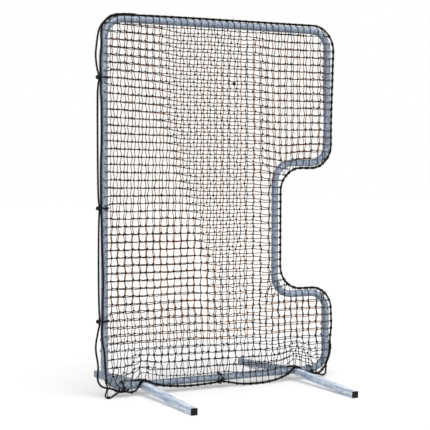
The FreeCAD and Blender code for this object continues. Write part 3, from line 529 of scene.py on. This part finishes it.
BORDER_ROPE = from_middle([
    (-0.150, 0.031, 0.046), (0.430, 0.031, 0.046), (0.480, 0.029, 0.080), (0.555, 0.029, 0.080),
    (0.615, 0.034, 0.046), (0.700, 0.016, 0.022), (0.754, 0.001, 0.0035, 0.020), (0.755, 0.0, 0.088),
    (0.768, 0.0, 0.121), (side, 0.0, 0.158), (side, 0.0, 0.215), (side + 0.013, 0.0, 0.320),
    (side, 0.0, notch_low, bend), (notch_x, 0.0, notch_low, bend), (notch_x, 0.0, notch_high, bend),
    (side, 0.0, notch_high, bend), (side, 0.0, 1.600), (side + 0.018, 0.0, top, bend + 0.006),
    (-0.682, 0.0, low_top), (-0.728, 0.001, 2.151), (-0.766, 0.003, 2.112), (-0.783, 0.008, 2.070),
    (left - 0.039, 0.020, 1.985), (left - 0.043, 0.022, 1.940), (left - 0.034, 0.018, 1.862),
    (left - 0.0242, 0.002, 1.817), (left - 0.031, 0.018, 1.775), (left - 0.0315, 0.021, 1.650),
    (left - 0.030, 0.019, 1.130), (left - 0.0242, 0.002, 1.081), (left - 0.026, 0.018, 1.035),
    (left - 0.0275, 0.019, 0.700), (left - 0.025, 0.017, 0.490), (left - 0.025, 0.003, 0.441),
    (left - 0.027, 0.018, 0.395), (left - 0.042, 0.026, 0.310), (left - 0.042, 0.026, 0.262),
    (left - 0.024, 0.026, 0.175), (left - 0.034, 0.026, 0.108), (left - 0.020, 0.025, 0.072),
    (left + 0.004, 0.024, 0.054), (left + 0.045, 0.022, 0.047), (left + 0.075, 0.020, 0.034),
    (left + 0.105, 0.020, 0.021), (left + 0.140, 0.020, 0.019), (-0.578, 0.029, 0.034),
    (-0.552, 0.030, 0.080), (-0.480, 0.029, 0.080), (-0.430, 0.031, 0.046), (-0.154, 0.031, 0.046),
])
OPENING_SIDE = from_middle([
    (-0.560, -0.0097, low_top), (-0.682, -0.0097, low_top), (-0.728, -0.0097, 2.151),
    (-0.764, -0.0095, 2.114), (left - 0.026, -0.014, 2.060), (left - 0.022, -0.0185, 2.010),
    (left - 0.029, -0.013, 1.940), (left - 0.029, -0.013, 1.865), (left - 0.0245, -0.0105, 1.817),
    (left - 0.0265, -0.0105, 1.740), (left - 0.0235, -0.0175, 1.670), (left - 0.023, -0.018, 1.450),
    (left - 0.0265, -0.0115, 1.340), (left - 0.0245, -0.0105, 1.081), (left - 0.0235, -0.017, 1.000),
    (left - 0.023, -0.0175, 0.900), (left - 0.0155, -0.0245, 0.680), (left - 0.0195, -0.0215, 0.560),
    (left - 0.019, -0.0205, 0.441), (left - 0.025, -0.0155, 0.392), (left - 0.0215, -0.020, 0.325),
    (left - 0.012, -0.0285, 0.272), (left - 0.009, -0.031, 0.212), (left - 0.006, -0.0315, 0.150),
])
OPENING_SLACK = from_middle([
    (left - 0.006, -0.0315, 0.150), (left - 0.0031, -0.032, 0.090), (left + 0.008, -0.033, 0.060),
    (left - 0.016, -0.036, 0.013), (left + 0.015, -0.037, 0.002), (left + 0.050, -0.036, 0.018),
    (left + 0.075, -0.028, 0.029),
])
OPENING_BOTTOM = from_middle([
    (left + 0.075, -0.028, 0.029), (left + 0.100, -0.020, 0.040), (-0.614, -0.031, 0.025),
    (-0.575, -0.0345, 0.024), (-0.549, -0.0345, 0.056), (-0.536, -0.032, 0.084), (-0.490, -0.029, 0.081),
    (-0.440, -0.030, 0.055), (-0.350, -0.030, 0.038), (-0.218, -0.030, 0.029), (-0.060, -0.028, 0.033),
    (-0.008, -0.020, 0.038), (0.060, -0.031, 0.027), (0.122, -0.033, 0.011), (0.254, -0.034, 0.006),
    (0.356, -0.033, 0.014), (0.424, -0.032, 0.032), (0.468, -0.032, 0.050), (0.493, -0.031, 0.084),
    (0.535, -0.029, 0.082), (0.568, -0.030, 0.054), (0.622, -0.020, 0.038), (0.665, -0.027, 0.030),
    (0.704, -0.017, 0.038), (0.731, -0.012, 0.058), (0.752, -0.0105, 0.088), (0.768, -0.0098, 0.121),
    (side, -0.0098, 0.158), (side, -0.0098, 0.210),
])

tree, group_in, group_out = new_group(
    "yarn_lay", [("Yarns Around", 6.0), ("Turns along Lay", 1.0)], ["Height"],
)
yarn_lay = tree
lay_place = add_node(tree, "ShaderNodeTexCoord")["UV"]
lay_place = add_node(tree, "ShaderNodeSeparateXYZ", {0: lay_place})
yarn_phase = calculate(tree, "MULTIPLY", lay_place["Y"], group_in["Turns along Lay"])
yarn_phase = calculate(tree, "MULTIPLY_ADD", lay_place["X"], group_in["Yarns Around"], yarn_phase)
yarn_wave = calculate(tree, "SINE", calculate(tree, "MULTIPLY", yarn_phase, tau))
tree.links.new(calculate(tree, "MULTIPLY_ADD", yarn_wave, 0.5, 0.5), group_out["Height"])

tree, group_in, group_out = new_group(
    "weathering", [("Fibres per Metre", 1500.0), ("Patches per Metre", 12.0)], ["Tone"],
)
weathering = tree
weather_place = place_on_part(tree)
fibres = mottle(tree, weather_place, group_in["Fibres per Metre"], detail=2.0)
fading = mottle(tree, weather_place, group_in["Patches per Metre"], detail=3.0)
fading = calculate(tree, "MULTIPLY_ADD", fading, 0.7, -0.1)
tree.links.new(calculate(tree, "MULTIPLY_ADD", fibres, 0.5, fading), group_out["Tone"])


def fibre_finish(name, dark, pale, yarns, turns, relief):
    """A finish of twisted fibre: fading in patches, fine fibres, and the lay's relief, whose hollows are
    darkened in colour as painted shade.
    """
    finish, tree, shader = new_finish(name, roughness=0.8, specular=0.15, sheen=0.05)
    tone = place_group(tree, weathering)["Tone"]
    ridges = place_group(tree, yarn_lay, Yarns_Around=yarns, Turns_along_Lay=turns)["Height"]
    # The lay's hollows are darkened in the colour: painted shade.
    groove_shade = calculate(tree, "MULTIPLY_ADD", ridges, 0.7, 0.3)
    tone_with_groove_shade = calculate(tree, "MULTIPLY", tone, groove_shade, clamp=True)
    tree.links.new(shade_between(tree, tone_with_groove_shade, dark, pale, low=0.1, high=0.9), shader["Base Color"])
    raise_relief(tree, shader, ridges, relief)
    return finish


rope_fibre = fibre_finish("black_laid_rope", ROPE_DARK, ROPE_PALE, yarns=15.0, turns=-3.0, relief=0.0004)


def lay_rope(node, line, turn):
    """The three-strand rope that stands for a CAD node, and the turn that its far end has."""
    rope = Strands()
    twist = tau / ROPE_LAY
    length = rope.add_tube(
        line, ROPE_DIAMETER / 2, 3 * len(ROPE_LOBES), BACK, ROPE_LAY,
        turn=turn, twist=twist, lobes=ROPE_LOBES,
    )
    return rope.make(f"{node}_laid", [rope_fibre], [node]), turn + twist * length


border_line, opening_side_line, opening_slack_line, opening_bottom_line = (
    smooth_line(route, ROPE_STEP) for route in (BORDER_ROPE, OPENING_SIDE, OPENING_SLACK, OPENING_BOTTOM)
)
lay_rope("border_rope", border_line, 0.0)
rope_turn = lay_rope("opening_rope_side", opening_side_line, 0.0)[1]
slack_piece, rope_turn = lay_rope("opening_rope_slack", opening_slack_line, rope_turn)
lay_rope("opening_rope_bottom", opening_bottom_line, rope_turn)


# Rope lashings. Thin black twine wound tightly round both ropes where the opening's rope starts and
# ends, and over the butted ends of the border rope.
LASHING_TWINE = 0.0026
LASHING_LAY = 0.01
LASHING_LENGTH = 0.034
LASHING_CORNERS = 16
ROPE_GAP = 0.0097

lashing_fibre = fibre_finish(
    "black_whipping_twine", ROPE_DARK, ROPE_PALE, yarns=3.0, turns=3.0, relief=0.0002,
)


def whipping_line(centre, along, apart):
    """A helix of twine round one rope, or round two whose middles lie this far apart."""
    up = along.cross(BACK)
    radius = ROPE_DIAMETER / 2 + LASHING_TWINE / 2
    steps = LASHING_CORNERS * int(LASHING_LENGTH / LASHING_TWINE)
    line = []
    for index in range(steps + 1):
        angle = tau * index / LASHING_CORNERS
        shift = apart / 2 * max(-1.0, min(1.0, 3.0 * cos(angle)))
        run = LASHING_LENGTH * (index / steps - 0.5)
        line.append(centre + along * run + BACK * (radius * cos(angle) + shift) + up * (radius * sin(angle)))
    return line


lashings = Strands()
for centre, along, apart in (
    ((middle - 0.585, -ROPE_GAP / 2, low_top), RIGHT, ROPE_GAP),
    ((middle + side, -ROPE_GAP / 2, 0.187), UP, ROPE_GAP),
    ((middle - 0.152, 0.031, 0.046), RIGHT, 0.0),
):
    twine = whipping_line(Vector(centre), along, apart)
    lashings.add_tube(twine, LASHING_TWINE / 2, 6, along, LASHING_LAY)
lashings.make("rope_lashings_wound", [lashing_fibre], ["rope_lashings"])


# Nets. Square-meshed knotted twine, a layer before the frame and a layer behind it. Each layer's
# edge goes round the outside of the tube, and its twines end in turns round the ropes there.
MESH = 0.04445
NET_MARGIN = 0.040
FRONT_FIRST_COLUMN = 0.0255
BACK_FIRST_COLUMN = 0.0475
TWINE = 0.0048
LONG_TWINE = 0.0053
THIN_TWINE = 0.0042
TWINE_LAY = 0.009
TWINE_STRAY = 0.0014
SHORTEST_SHARE = 0.08
SWAPPED_SHARE = 0.8
KNOT = 0.0118
KNOT_ZIGZAG = 0.0034
ROW_SAG = 0.0034
MENDED_KNOT = Vector((0.0684, 0.0, 1.794))
MENDED_SIZE = 1.9
ON_TUBE = 0.0245
RIGHT_TUBE_MORE = 0.015
TUBE_CLEARANCE = 0.0002
HITCH_TURNS = 2.5
LACING_PITCH = MESH / 4
TURN_CORNERS = 9
BLACK_BELOW = 0.29
OUTLINE_STEP = 0.002
SIDE_WAVE = 0.008
SIDE_RIPPLE = 0.003
RISE_WAVE = 0.004
RISE_RIPPLE = 0.0015
MIDDLE_SAG = 0.011
BELLY = 0.012
TUBE_PULL_AND_SHADE = 0.85
TUBE_PULL_AND_SHADE_REACH = 0.055
TIE_PULL = 0.6
TIE_PULL_REACH = 0.05
EDGE_ZONE = 0.06
FOOT_ZONE = 0.16
EDGE_BEND = 0.05
NEAR_OUTLINE = 0.3
TWINE_PARTS = 4
EDGE_TWINE_PARTS = 9
TWINE_BLACK = (0.004, 0.004, 0.004)
TWINE_DUSTY = (0.030, 0.023, 0.018)
TWINE_UMBER = (0.085, 0.034, 0.012)
TWINE_RUSTY = (0.36, 0.175, 0.075)
# The tan twine's shades, partly painted light: the sunlit look of dark twine.
TWINE_BROWN = (0.30, 0.15, 0.064)
TWINE_TAN_AND_SUNLIT = (0.68, 0.39, 0.185)
RAIL_TIE_PLACES = (middle - 0.648, middle - 0.008, middle + 0.622)
POST_TIE_HEIGHTS = (1.817, 1.081, 0.441)


def trace_outline(corners, radius, step):
    """Places along the frame's centre line and, for each, the direction that points outward."""
    spots = []
    outward = []
    for index, corner in enumerate(corners):
        following = corners[(index + 1) % len(corners)]
        before = (corner - corners[index - 1]).normalized()
        after = (following - corner).normalized()
        sense = 1.0 if before.x * after.z - before.z * after.x > 0 else -1.0
        out = Vector((before.z, 0.0, -before.x))
        centre = corner - before * radius - out * (radius * sense)
        for part in range(int(radius * pi / 2 / step) + 1):
            turn = part * step / radius
            around = out * cos(turn) + before * (sin(turn) * sense)
            spots.append(centre + around * (radius * sense))
            outward.append(around)
        last = following - after * radius
        spot = corner + after * radius
        while (last - spot).dot(after) > 0:
            spots.append(spot.copy())
            outward.append(Vector((after.z, 0.0, -after.x)))
            spot += after * step
    return spots, outward


frame_corners = [
    Vector((x, 0.0, z)) for x, z in (
        (POST_LEFT, RAIL_LOW), (POST_RIGHT, RAIL_LOW), (POST_RIGHT, NOTCH_LOW), (NOTCH_DEPTH_X, NOTCH_LOW),
        (NOTCH_DEPTH_X, NOTCH_HIGH), (POST_RIGHT, NOTCH_HIGH), (POST_RIGHT, RAIL_TOP), (POST_LEFT, RAIL_TOP),
    )
]
outline_spots, outline_outward = trace_outline(frame_corners, BEND_RADIUS, OUTLINE_STEP)
outline_tree = kdtree.KDTree(len(outline_spots))
for index, spot in enumerate(outline_spots):
    outline_tree.insert(spot, index)
outline_tree.balance()


def beside_outline(across, up):
    """The nearest place of the outline, and how far outside it a flat point lies."""
    spot, index, gap = outline_tree.find((across, 0.0, up))
    offset = Vector((across, 0.0, up)) - spot
    return index, copysign(gap, offset.dot(outline_outward[index]))


def rope_reach(lines):
    """Where the rope lies beside each place of the outline: how far out, and how far forward or back."""
    found = [[] for spot in outline_spots]
    for line in lines:
        for spot in line:
            near, index, gap = outline_tree.find((spot.x, 0.0, spot.z))
            out = (Vector((spot.x, 0.0, spot.z)) - near).dot(outline_outward[index])
            if abs(out) > gap - OUTLINE_STEP:
                found[index].append((out, spot.y))
    known = [index for index, rows in enumerate(found) if rows]
    reach = []
    total = len(outline_spots)
    for index, rows in enumerate(found):
        if rows:
            reach.append(tuple(sum(numbers) / len(rows) for numbers in zip(*rows)))
            continue
        before = max((k for k in known if k < index), default=known[-1] - total)
        after = min((k for k in known if k > index), default=known[0] + total)
        share = (index - before) / (after - before)
        ends = zip(found[before % total][0], found[after % total][0])
        reach.append(tuple(first + (second - first) * share for first, second in ends))
    return reach


def eased(value, low, high):
    """0 below low, 1 above high, and a soft step between them."""
    share = max(0.0, min(1.0, (value - low) / (high - low)))
    return share * share * (3 - 2 * share)


def from_left(across, low, high):
    """The same soft step across the screen, measured from the left post."""
    return eased(across, POST_LEFT + low, POST_LEFT + high)


def gathered(pull, off, reach):
    """How far a mesh that lies off to one side is drawn towards what pulls it."""
    return pull * off * exp(-((off / reach) ** 2))


def waver(across, up, per_metre, number):
    """A slow random wave over the net, from -1 to 1. Each number gives another one."""
    return noise.noise(Vector((across * per_metre, number, up * per_metre)))


class NetLayer:
    """One layer of the net: how its flat meshes are drawn out of true, and how they lie on the frame."""

    def __init__(self, facing, reach, seed):
        self.facing = facing
        self.reach = reach
        self.chance = random.Random(seed)
        self.seed = seed

    def drawn(self, across, up):
        """A flat place, moved as the slack net is drawn sideways and up by its ropes and ties, and bunched
        at the right post and the notch, in part as painted shade.
        """
        wave = waver(across, up, 2.1, 7.3)
        ripple = waver(across, up, 5.2, self.seed * 3.1)
        moved_x = (SIDE_WAVE * wave + SIDE_RIPPLE * ripple) * from_left(across, 0.01, 0.14)
        moved_z = RISE_WAVE * waver(across, up, 3.3, 25.7) + RISE_RIPPLE * ripple
        moved_z -= MIDDLE_SAG * from_left(across, 0.0, 0.40) * eased(up, 0.9, 1.8)
        inside = from_left(across, 0.05, 0.30) * eased(-across, -POST_RIGHT, -POST_RIGHT + 0.2)
        low = 1.0 - eased(up, RAIL_LOW, 0.30)
        moved_x -= MESH / 2 * self.facing * low * inside
        if self.facing > 0:
            # Shares of a mesh by which the back layer lies beside and below the front one.
            step = POST_LEFT + 0.30 + 0.26 * eased(1.75 - up, 0.0, 1.1)
            centre = eased(across, step, step + 0.20)
            far = from_left(across, 0.80, 0.98)
            near_shift = 0.12 + 0.38 * eased(up, 0.75, 1.25) - 0.2 * eased(up, 1.6, 2.0)
            near_shift += 0.38 * eased(-up, -0.60, -0.35)
            moved_x += MESH * (near_shift * (1 - centre) + 0.5 * centre)
            end = eased(across, POST_RIGHT - 0.28, POST_RIGHT - 0.12) * eased(up, 1.1, 1.5)
            moved_x += MESH * (far * (0.78 + 0.22 * low + 0.30 * eased(up, 1.2, 1.8)) + 0.1 * end)
            meeting = 0.46 * from_left(across, 0.90, 1.10) - 0.16 * end
            moved_z -= MESH * (0.5 * max(centre, low) + meeting * (1 - low))
        in_notch = eased(up, NOTCH_LOW - 0.02, NOTCH_LOW + 0.10)
        in_notch *= eased(-up, -NOTCH_HIGH - 0.02, 0.10 - NOTCH_HIGH)
        # Meshes are bunched on the right post and the notch. Their dark twine stands in part for the shade
        # along the tube's inner side: painted shade.
        for edge, share in ((POST_RIGHT, 1 - in_notch), (NOTCH_DEPTH_X, in_notch)):
            moved_x -= gathered(TUBE_PULL_AND_SHADE * share, across - edge + NET_MARGIN, TUBE_PULL_AND_SHADE_REACH)
        for tie in RAIL_TIE_PLACES:
            moved_x -= gathered(TIE_PULL, across - tie, TIE_PULL_REACH) * (1.0 - eased(up, 0.03, 0.16))
        near = 1.0 - from_left(across, -0.02, 0.05)
        for tie in POST_TIE_HEIGHTS:
            moved_z -= gathered(TIE_PULL, up - tie, TIE_PULL_REACH) * near
        return across + moved_x, up + moved_z

    def hung(self, across, up):
        """The place in the room of a flat, drawn place."""
        index, out = beside_outline(across, up)
        foot, outward = outline_spots[index], outline_outward[index]
        rope_out, rope_y = self.reach[index]
        rope_deep = rope_y * self.facing
        close = TUBE_RADIUS + TWINE / 2 + TUBE_CLEARANCE
        span = max(hypot(rope_out, rope_deep), close * 1.02)
        touch = atan2(rope_deep, rope_out) + acos(min(1.0, close / span))
        wraps = rope_out > 0 and touch < pi / 2
        arc = close * (pi / 2 - touch) if wraps else 0.0
        straight = sqrt(span * span - close * close) if wraps else 0.0
        end = arc + straight if wraps else rope_out
        zone = EDGE_ZONE + FOOT_ZONE * max(0.0, -outward.z)
        if out > -zone:
            out = -zone + (out + zone) * (end + zone) / (NET_MARGIN + zone)
        swell = 0.4 + noise.noise(Vector((across * 1.7, self.seed, up * 1.4)))
        belly = BELLY * eased(-out, 0.02, 0.25) * swell
        if not wraps:
            share = max(0.0, min(1.0, (out - end + EDGE_BEND) / EDGE_BEND))
            level_out = out
            deep = (close + belly) * (1 - share) + rope_deep * share
        elif out <= 0:
            level_out, deep = out, close + belly
        elif out < arc:
            angle = pi / 2 - out / close
            level_out, deep = close * cos(angle), close * sin(angle)
        else:
            share = (out - arc) / straight
            level_out = close * cos(touch) * (1 - share) + rope_out * share
            deep = close * sin(touch) * (1 - share) + rope_deep * share
        if abs(out) < NEAR_OUTLINE or wraps and out > 0:
            across, up = foot.x + outward.x * level_out, foot.z + outward.z * level_out
        return Vector((across, deep * self.facing, up))

    def flat_gap(self, across, up):
        """How far inside the net's cut edge a mesh place is."""
        return NET_MARGIN - beside_outline(*self.drawn(across, up))[1]


# The tan finish of most upright twines, and of the level ones at the lower left, is partly painted light:
# the sunlit look of dark twine.
BLACK, TAN_AND_SUNLIT, RUSTY = range(3)
twine_finishes = [
    fibre_finish(f"{name}_twine", dark, pale, yarns=3.0, turns=1.0, relief=0.0004)
    for name, dark, pale in (
        ("black", TWINE_BLACK, TWINE_DUSTY), ("tan_and_sunlit", TWINE_BROWN, TWINE_TAN_AND_SUNLIT),
        ("rusty", TWINE_UMBER, TWINE_RUSTY),
    )
]

knot_form = Strands()
knot_form.add_tube(
    [Vector((x * KNOT, 0.0, 0.0)) for x in (-0.50, -0.38, -0.05, 0.30, 0.50)],
    [KNOT * r for r in (0.12, 0.34, 0.42, 0.36, 0.12)], 6, BACK, TWINE_LAY,
)
knot_form.add_tube(
    [
        Vector((KNOT * 0.16 * sin(2 * turn), KNOT * 0.40 * cos(turn), KNOT * 0.40 * sin(turn)))
        for turn in (tau * part / 8 for part in range(9))
    ],
    TWINE * 0.42, 4, RIGHT, TWINE_LAY,
)

rope_turn_form = Strands()
rope_turn_form.add_tube(
    [
        Vector((
            cos(turn) * (ROPE_DIAMETER + TWINE) / 2 * 0.95,
            TWINE * (turn / tau - HITCH_TURNS / 2),
            sin(turn) * (ROPE_DIAMETER + TWINE) / 2 * 0.95,
        ))
        for turn in (tau * part / TURN_CORNERS for part in range(int(TURN_CORNERS * HITCH_TURNS) + 1))
    ],
    TWINE * 0.48, 4, BACK, TWINE_LAY,
)


def lace_rope(net, line):
    """Twine wound openly along a rope, which binds the net's edge to it."""
    reach = ROPE_DIAMETER / 2 + TWINE * 0.28
    places = evenly_spaced(line, LACING_PITCH / TURN_CORNERS)
    wound = []
    for index, spot in enumerate(places):
        along = (places[min(index + 1, len(places) - 1)] - places[max(index - 1, 0)]).normalized()
        side = BACK.cross(along).normalized()
        angle = tau * index / TURN_CORNERS
        wound.append(spot + side * (reach * cos(angle)) + along.cross(side) * (reach * sin(angle)))
    net.add_tube(wound, TWINE * 0.42, 4, Vector((0.31, 0.9, 0.27)), TWINE_LAY)


def pick_twine(chance, across, up, upright, on_edge):
    """How thick the twine of one side of a mesh is, and which finish it has."""
    swapped = chance.random() < SWAPPED_SHARE * eased(1.0 - up, 0.0, 0.5) * eased(across, -0.25, 0.35)
    browned = eased(2.9 - up, 0.0, 1.3) * (0.4 + 0.6 * eased(across, POST_LEFT, -0.15))
    level_finish = RUSTY if chance.random() < browned else BLACK
    if on_edge or up < BLACK_BELOW:
        return THIN_TWINE, BLACK
    if upright:
        return LONG_TWINE, BLACK if swapped else TAN_AND_SUNLIT
    return LONG_TWINE, TAN_AND_SUNLIT if swapped else level_finish


def knot_net(name, layer, first_column, ropes):
    """Knots a whole layer, mesh by mesh: its knots, the twine between them, and its ends on the ropes."""
    net = Strands()
    first_row = RAIL_LOW - NET_MARGIN + 0.5 * MESH
    columns = range(-1, int((POST_RIGHT - POST_LEFT + 3 * MESH) / MESH))
    rows = range(-1, int((RAIL_TOP - RAIL_LOW + 3 * MESH) / MESH))
    spots = {(c, r): (first_column + c * MESH, first_row + r * MESH) for c in columns for r in rows}
    chance = layer.chance
    beside = {key: beside_outline(*layer.drawn(*flat)) for key, flat in spots.items()}
    inside = {key: NET_MARGIN - out for key, (index, out) in beside.items()}
    on_tube = {
        key: out > -ON_TUBE - (RIGHT_TUBE_MORE if layer.facing < 0 < outline_outward[index].x else 0.0)
        for key, (index, out) in beside.items()
    }
    shifts = {}
    for c, r in spots:
        lean = 0.0 if on_tube[c, r] else KNOT_ZIGZAG * (1 if (c + r) % 2 else -1)
        stray = chance.uniform(-TWINE_STRAY, TWINE_STRAY)
        shifts[c, r] = (lean + stray, chance.uniform(-TWINE_STRAY, TWINE_STRAY))
    for (c, r), flat in spots.items():
        if not on_tube[c, r]:
            place = layer.hung(*layer.drawn(flat[0] + shifts[c, r][0], flat[1] + shifts[c, r][1]))
            lean = Matrix.Rotation(chance.uniform(0, pi), 4, "Y")
            lean = lean @ Matrix.Rotation(chance.uniform(-0.5, 0.5), 4, "X")
            size = chance.uniform(0.85, 1.12)
            if layer.facing < 0 and hypot(place.x - MENDED_KNOT.x, place.z - MENDED_KNOT.z) < MESH / 2:
                size = MENDED_SIZE
            net.add_form(knot_form, Matrix.Translation(place) @ lean @ Matrix.Scale(size, 4))
        for step_c, step_r in ((1, 0), (0, 1)):
            key, other = (c, r), (c + step_c, r + step_r)
            bow = chance.uniform(-TWINE_STRAY, TWINE_STRAY) - ROW_SAG * step_c
            if other not in spots or (inside[key] <= 0 and inside[other] <= 0):
                continue
            edge_way = outline_outward[beside[key][0]]
            if on_tube[key] and on_tube[other] and abs(edge_way.x * step_c + edge_way.z * step_r) < 0.5:
                continue

            def flat_at(share):
                """A place of this twine in the flat net."""
                sway = bow * 4 * share * (1 - share)
                return tuple(
                    flat[way] + step * MESH * share + crossing * sway
                    + shifts[key][way] * (1 - share) + shifts[other][way] * share
                    for way, step, crossing in ((0, step_c, step_r), (1, step_r, step_c))
                )

            def cut_share(held, free):
                """Where this twine meets the net's cut edge, found by halving from its held end."""
                for halving in range(12):
                    tried = (held + free) / 2
                    if layer.flat_gap(*flat_at(tried)) > 0:
                        held = tried
                    else:
                        free = tried
                return held

            start = 0.0 if inside[key] > 0 else cut_share(1.0, 0.0)
            end = 1.0 if inside[other] > 0 else cut_share(0.0, 1.0)
            if end - start < SHORTEST_SHARE:
                continue
            at_edge = min(inside[key], inside[other]) < NET_MARGIN + 0.004
            parts = EDGE_TWINE_PARTS if at_edge else TWINE_PARTS
            shares = [start + (end - start) * part / parts for part in range(parts + 1)]
            line = [layer.hung(*layer.drawn(*flat_at(share))) for share in shares]
            thickness, finish = pick_twine(chance, *flat, step_r, on_tube[key] or on_tube[other])
            net.add_tube(
                line, thickness / 2, 5, Vector((step_r, 0.0, step_c)), TWINE_LAY,
                turn=chance.uniform(0, 1), finish=finish,
            )
            for share, place in ((start, line[0]), (end, line[-1])):
                if 0.0 < share < 1.0:
                    outward = outline_outward[beside_outline(*layer.drawn(*flat_at(share)))[0]]
                    rope_way = Vector((outward.z, 0.0, -outward.x)).to_track_quat("Y", "Z")
                    net.add_form(
                        rope_turn_form, Matrix.Translation(place) @ rope_way.to_matrix().to_4x4(),
                    )
    for line in ropes:
        lace_rope(net, line)
    net.make(name, twine_finishes, [f"{name}_{part}" for part in ("main", "upper", "lower")])


def on_opening_rope(spot):
    """Whether the front layer's edge is bound to the opening's rope beside a place of the outline."""
    near_corner = spot.z > RAIL_TOP - 0.15 or spot.z < RAIL_LOW + 0.15
    width = 0.15 if near_corner else 0.04
    return spot.x < POST_LEFT + width or spot.z < RAIL_LOW + 0.04


border_reach = rope_reach([border_line])
opening_reach = rope_reach([opening_side_line, opening_slack_line, opening_bottom_line])
front_reach = [
    opening if on_opening_rope(spot) else border
    for spot, opening, border in zip(outline_spots, opening_reach, border_reach)
]
knot_net(
    "net_front", NetLayer(-1.0, front_reach, seed=1), POST_LEFT + FRONT_FIRST_COLUMN,
    [opening_side_line, opening_bottom_line],
)
knot_net("net_back", NetLayer(1.0, border_reach, seed=2), POST_LEFT + BACK_FIRST_COLUMN, [border_line])


# Ball ties. Loops of black elastic cord round the tube and both ropes, each pulled through a black
# plastic ball that locks it. Three hold the net's open side to the post and three its foot to the rail.
TIE_CORD = 0.006
TIE_LAY = 0.02
TIE_STEP = 0.003
TIE_STRANDS_APART = 0.0064
TIE_RADIUS = 0.0265
BALL_REACH = 0.047
BALL_RADIUS = 0.0125
BALL_BORE = 0.0035
BALL_LIP = 0.0014
BALL_STEPS = 14
POST_TIE_TURN = radians(18)
RAIL_TIE_TURN = radians(5)
RAIL_TIE_SLACK = 0.007
RAIL_TIE_SEATS = ((0.0016, radians(7.5)), (0.0, 0.0), (0.0, 0.0))

elastic_cover = fibre_finish(
    "braided_elastic_cord", ROPE_DARK, ROPE_PALE, yarns=8.0, turns=8.0, relief=0.0002,
)


def tie_line(slack, lift):
    """One strand of the doubled loop in its own frame: out of the ball, round the tube, and back."""
    ball_side = [
        (-0.036, 0.003), (-0.034, 0.012), (-0.031, 0.021), (-0.022, TIE_RADIUS), (-0.010, TIE_RADIUS),
    ]
    line = list(ball_side)
    for part in range(13):
        angle = pi / 2 - pi * part / 12
        low = slack * eased(part, 3, 9)
        line.append((TIE_RADIUS * cos(angle), TIE_RADIUS * sin(angle) - low))
    line += [(x, -y - (slack if y > 0.004 else 0.0)) for x, y in reversed(ball_side)]
    return [Vector((x, y, lift * eased(x, -0.036, -0.020))) for x, y in line]


def turned_profile(stock, profile, sides, matrix):
    """A form turned about its own X axis from (along, radius) places, closed where it meets itself."""
    start = len(stock.points)
    for along, radius in profile:
        for corner in range(sides):
            angle = tau * corner / sides
            stock.points.append(matrix @ Vector((along, radius * cos(angle), radius * sin(angle))))
    count = len(profile)
    for ring in range(count):
        here, there = start + ring * sides, start + (ring + 1) % count * sides
        for corner in range(sides):
            after = (corner + 1) % sides
            stock.faces.append((here + corner, there + corner, there + after, here + after))
    stock.lays += [(0.0, 0.0)] * (4 * sides * count)
    stock.finishes += [0] * (sides * count)


ball_profile = []
rim = asin(BALL_BORE / BALL_RADIUS)
for part in range(BALL_STEPS + 1):
    angle = rim + (pi - 2 * rim) * part / BALL_STEPS
    ball_profile.append((-BALL_RADIUS * cos(angle), BALL_RADIUS * sin(angle)))
mouth = BALL_RADIUS * cos(rim)
ball_profile += [(mouth - BALL_LIP, BALL_BORE * 0.85), (-mouth + BALL_LIP, BALL_BORE * 0.85)]

post_placings = [
    Matrix.Translation((POST_LEFT, 0.0, height)) @ Matrix.Rotation(POST_TIE_TURN, 4, "Z")
    for height in POST_TIE_HEIGHTS
]
upright = Matrix(((0.0, 0.0, 1.0), (1.0, 0.0, 0.0), (0.0, 1.0, 0.0))).to_4x4()
rail_placings = [
    Matrix.Translation((across, 0.0, RAIL_LOW + lift))
    @ Matrix.Rotation(tilt, 4, "Y") @ Matrix.Rotation(RAIL_TIE_TURN, 4, "X") @ upright
    for across, (lift, tilt) in zip(RAIL_TIE_PLACES, RAIL_TIE_SEATS)
]
for kind, placings, slack in (("post", post_placings, 0.0), ("rail", rail_placings, RAIL_TIE_SLACK)):
    cords = Strands()
    balls = Strands()
    for placing in placings:
        for lift in (-TIE_STRANDS_APART / 2, TIE_STRANDS_APART / 2):
            loop = [placing @ spot for spot in smooth_line(tie_line(slack, lift), TIE_STEP)]
            cords.add_tube(loop, TIE_CORD / 2, 8, placing.to_3x3() @ UP, TIE_LAY)
        turned_profile(balls, ball_profile, 20, placing @ Matrix.Translation((-BALL_REACH, 0.0, 0.0)))
    cords.make(f"{kind}_tie_cords", [elastic_cover], [f"{kind}_tie_loops"])
    balls.make(f"{kind}_tie_ball_set", [black_plastic], [f"{kind}_tie_balls"])


# Nut inserts. The collars of blue nylon in the lock nuts, domed where they stand out round the
# bolt ends on the inner side of the posts. They stand out less from the nuts on the left post.
COLLAR_RADIUS = 0.0078
COLLAR_DEPTH = 0.0082
BOLT_BORE = 0.0041
LEFT_SHARE = 0.3
INSERT_RADIUS = 0.0055
BOLT_PITCH = 0.064

insert_low, insert_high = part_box("nut_inserts")
lowest_bolt = insert_low.z + INSERT_RADIUS
highest_bolt = insert_high.z - INSERT_RADIUS
bolt_heights = (lowest_bolt, lowest_bolt + BOLT_PITCH, highest_bolt - BOLT_PITCH, highest_bolt)
collar_profile = [
    (0.0, BOLT_BORE), (0.0, COLLAR_RADIUS), (COLLAR_DEPTH * 0.7, COLLAR_RADIUS),
    (COLLAR_DEPTH * 0.92, COLLAR_RADIUS * 0.9), (COLLAR_DEPTH, COLLAR_RADIUS * 0.74),
    (COLLAR_DEPTH, BOLT_BORE),
]
collars = Strands()
for face_x, facing in (
    (insert_low.x, Matrix.Diagonal((LEFT_SHARE, 1.0, 1.0, 1.0))),
    (insert_high.x, Matrix.Rotation(pi, 4, "Z")),
):
    for height in bolt_heights:
        turned_profile(collars, collar_profile, 18, Matrix.Translation((face_x, 0.0, height)) @ facing)
collars.make("nut_insert_collars", [blue_nylon], ["nut_inserts"])
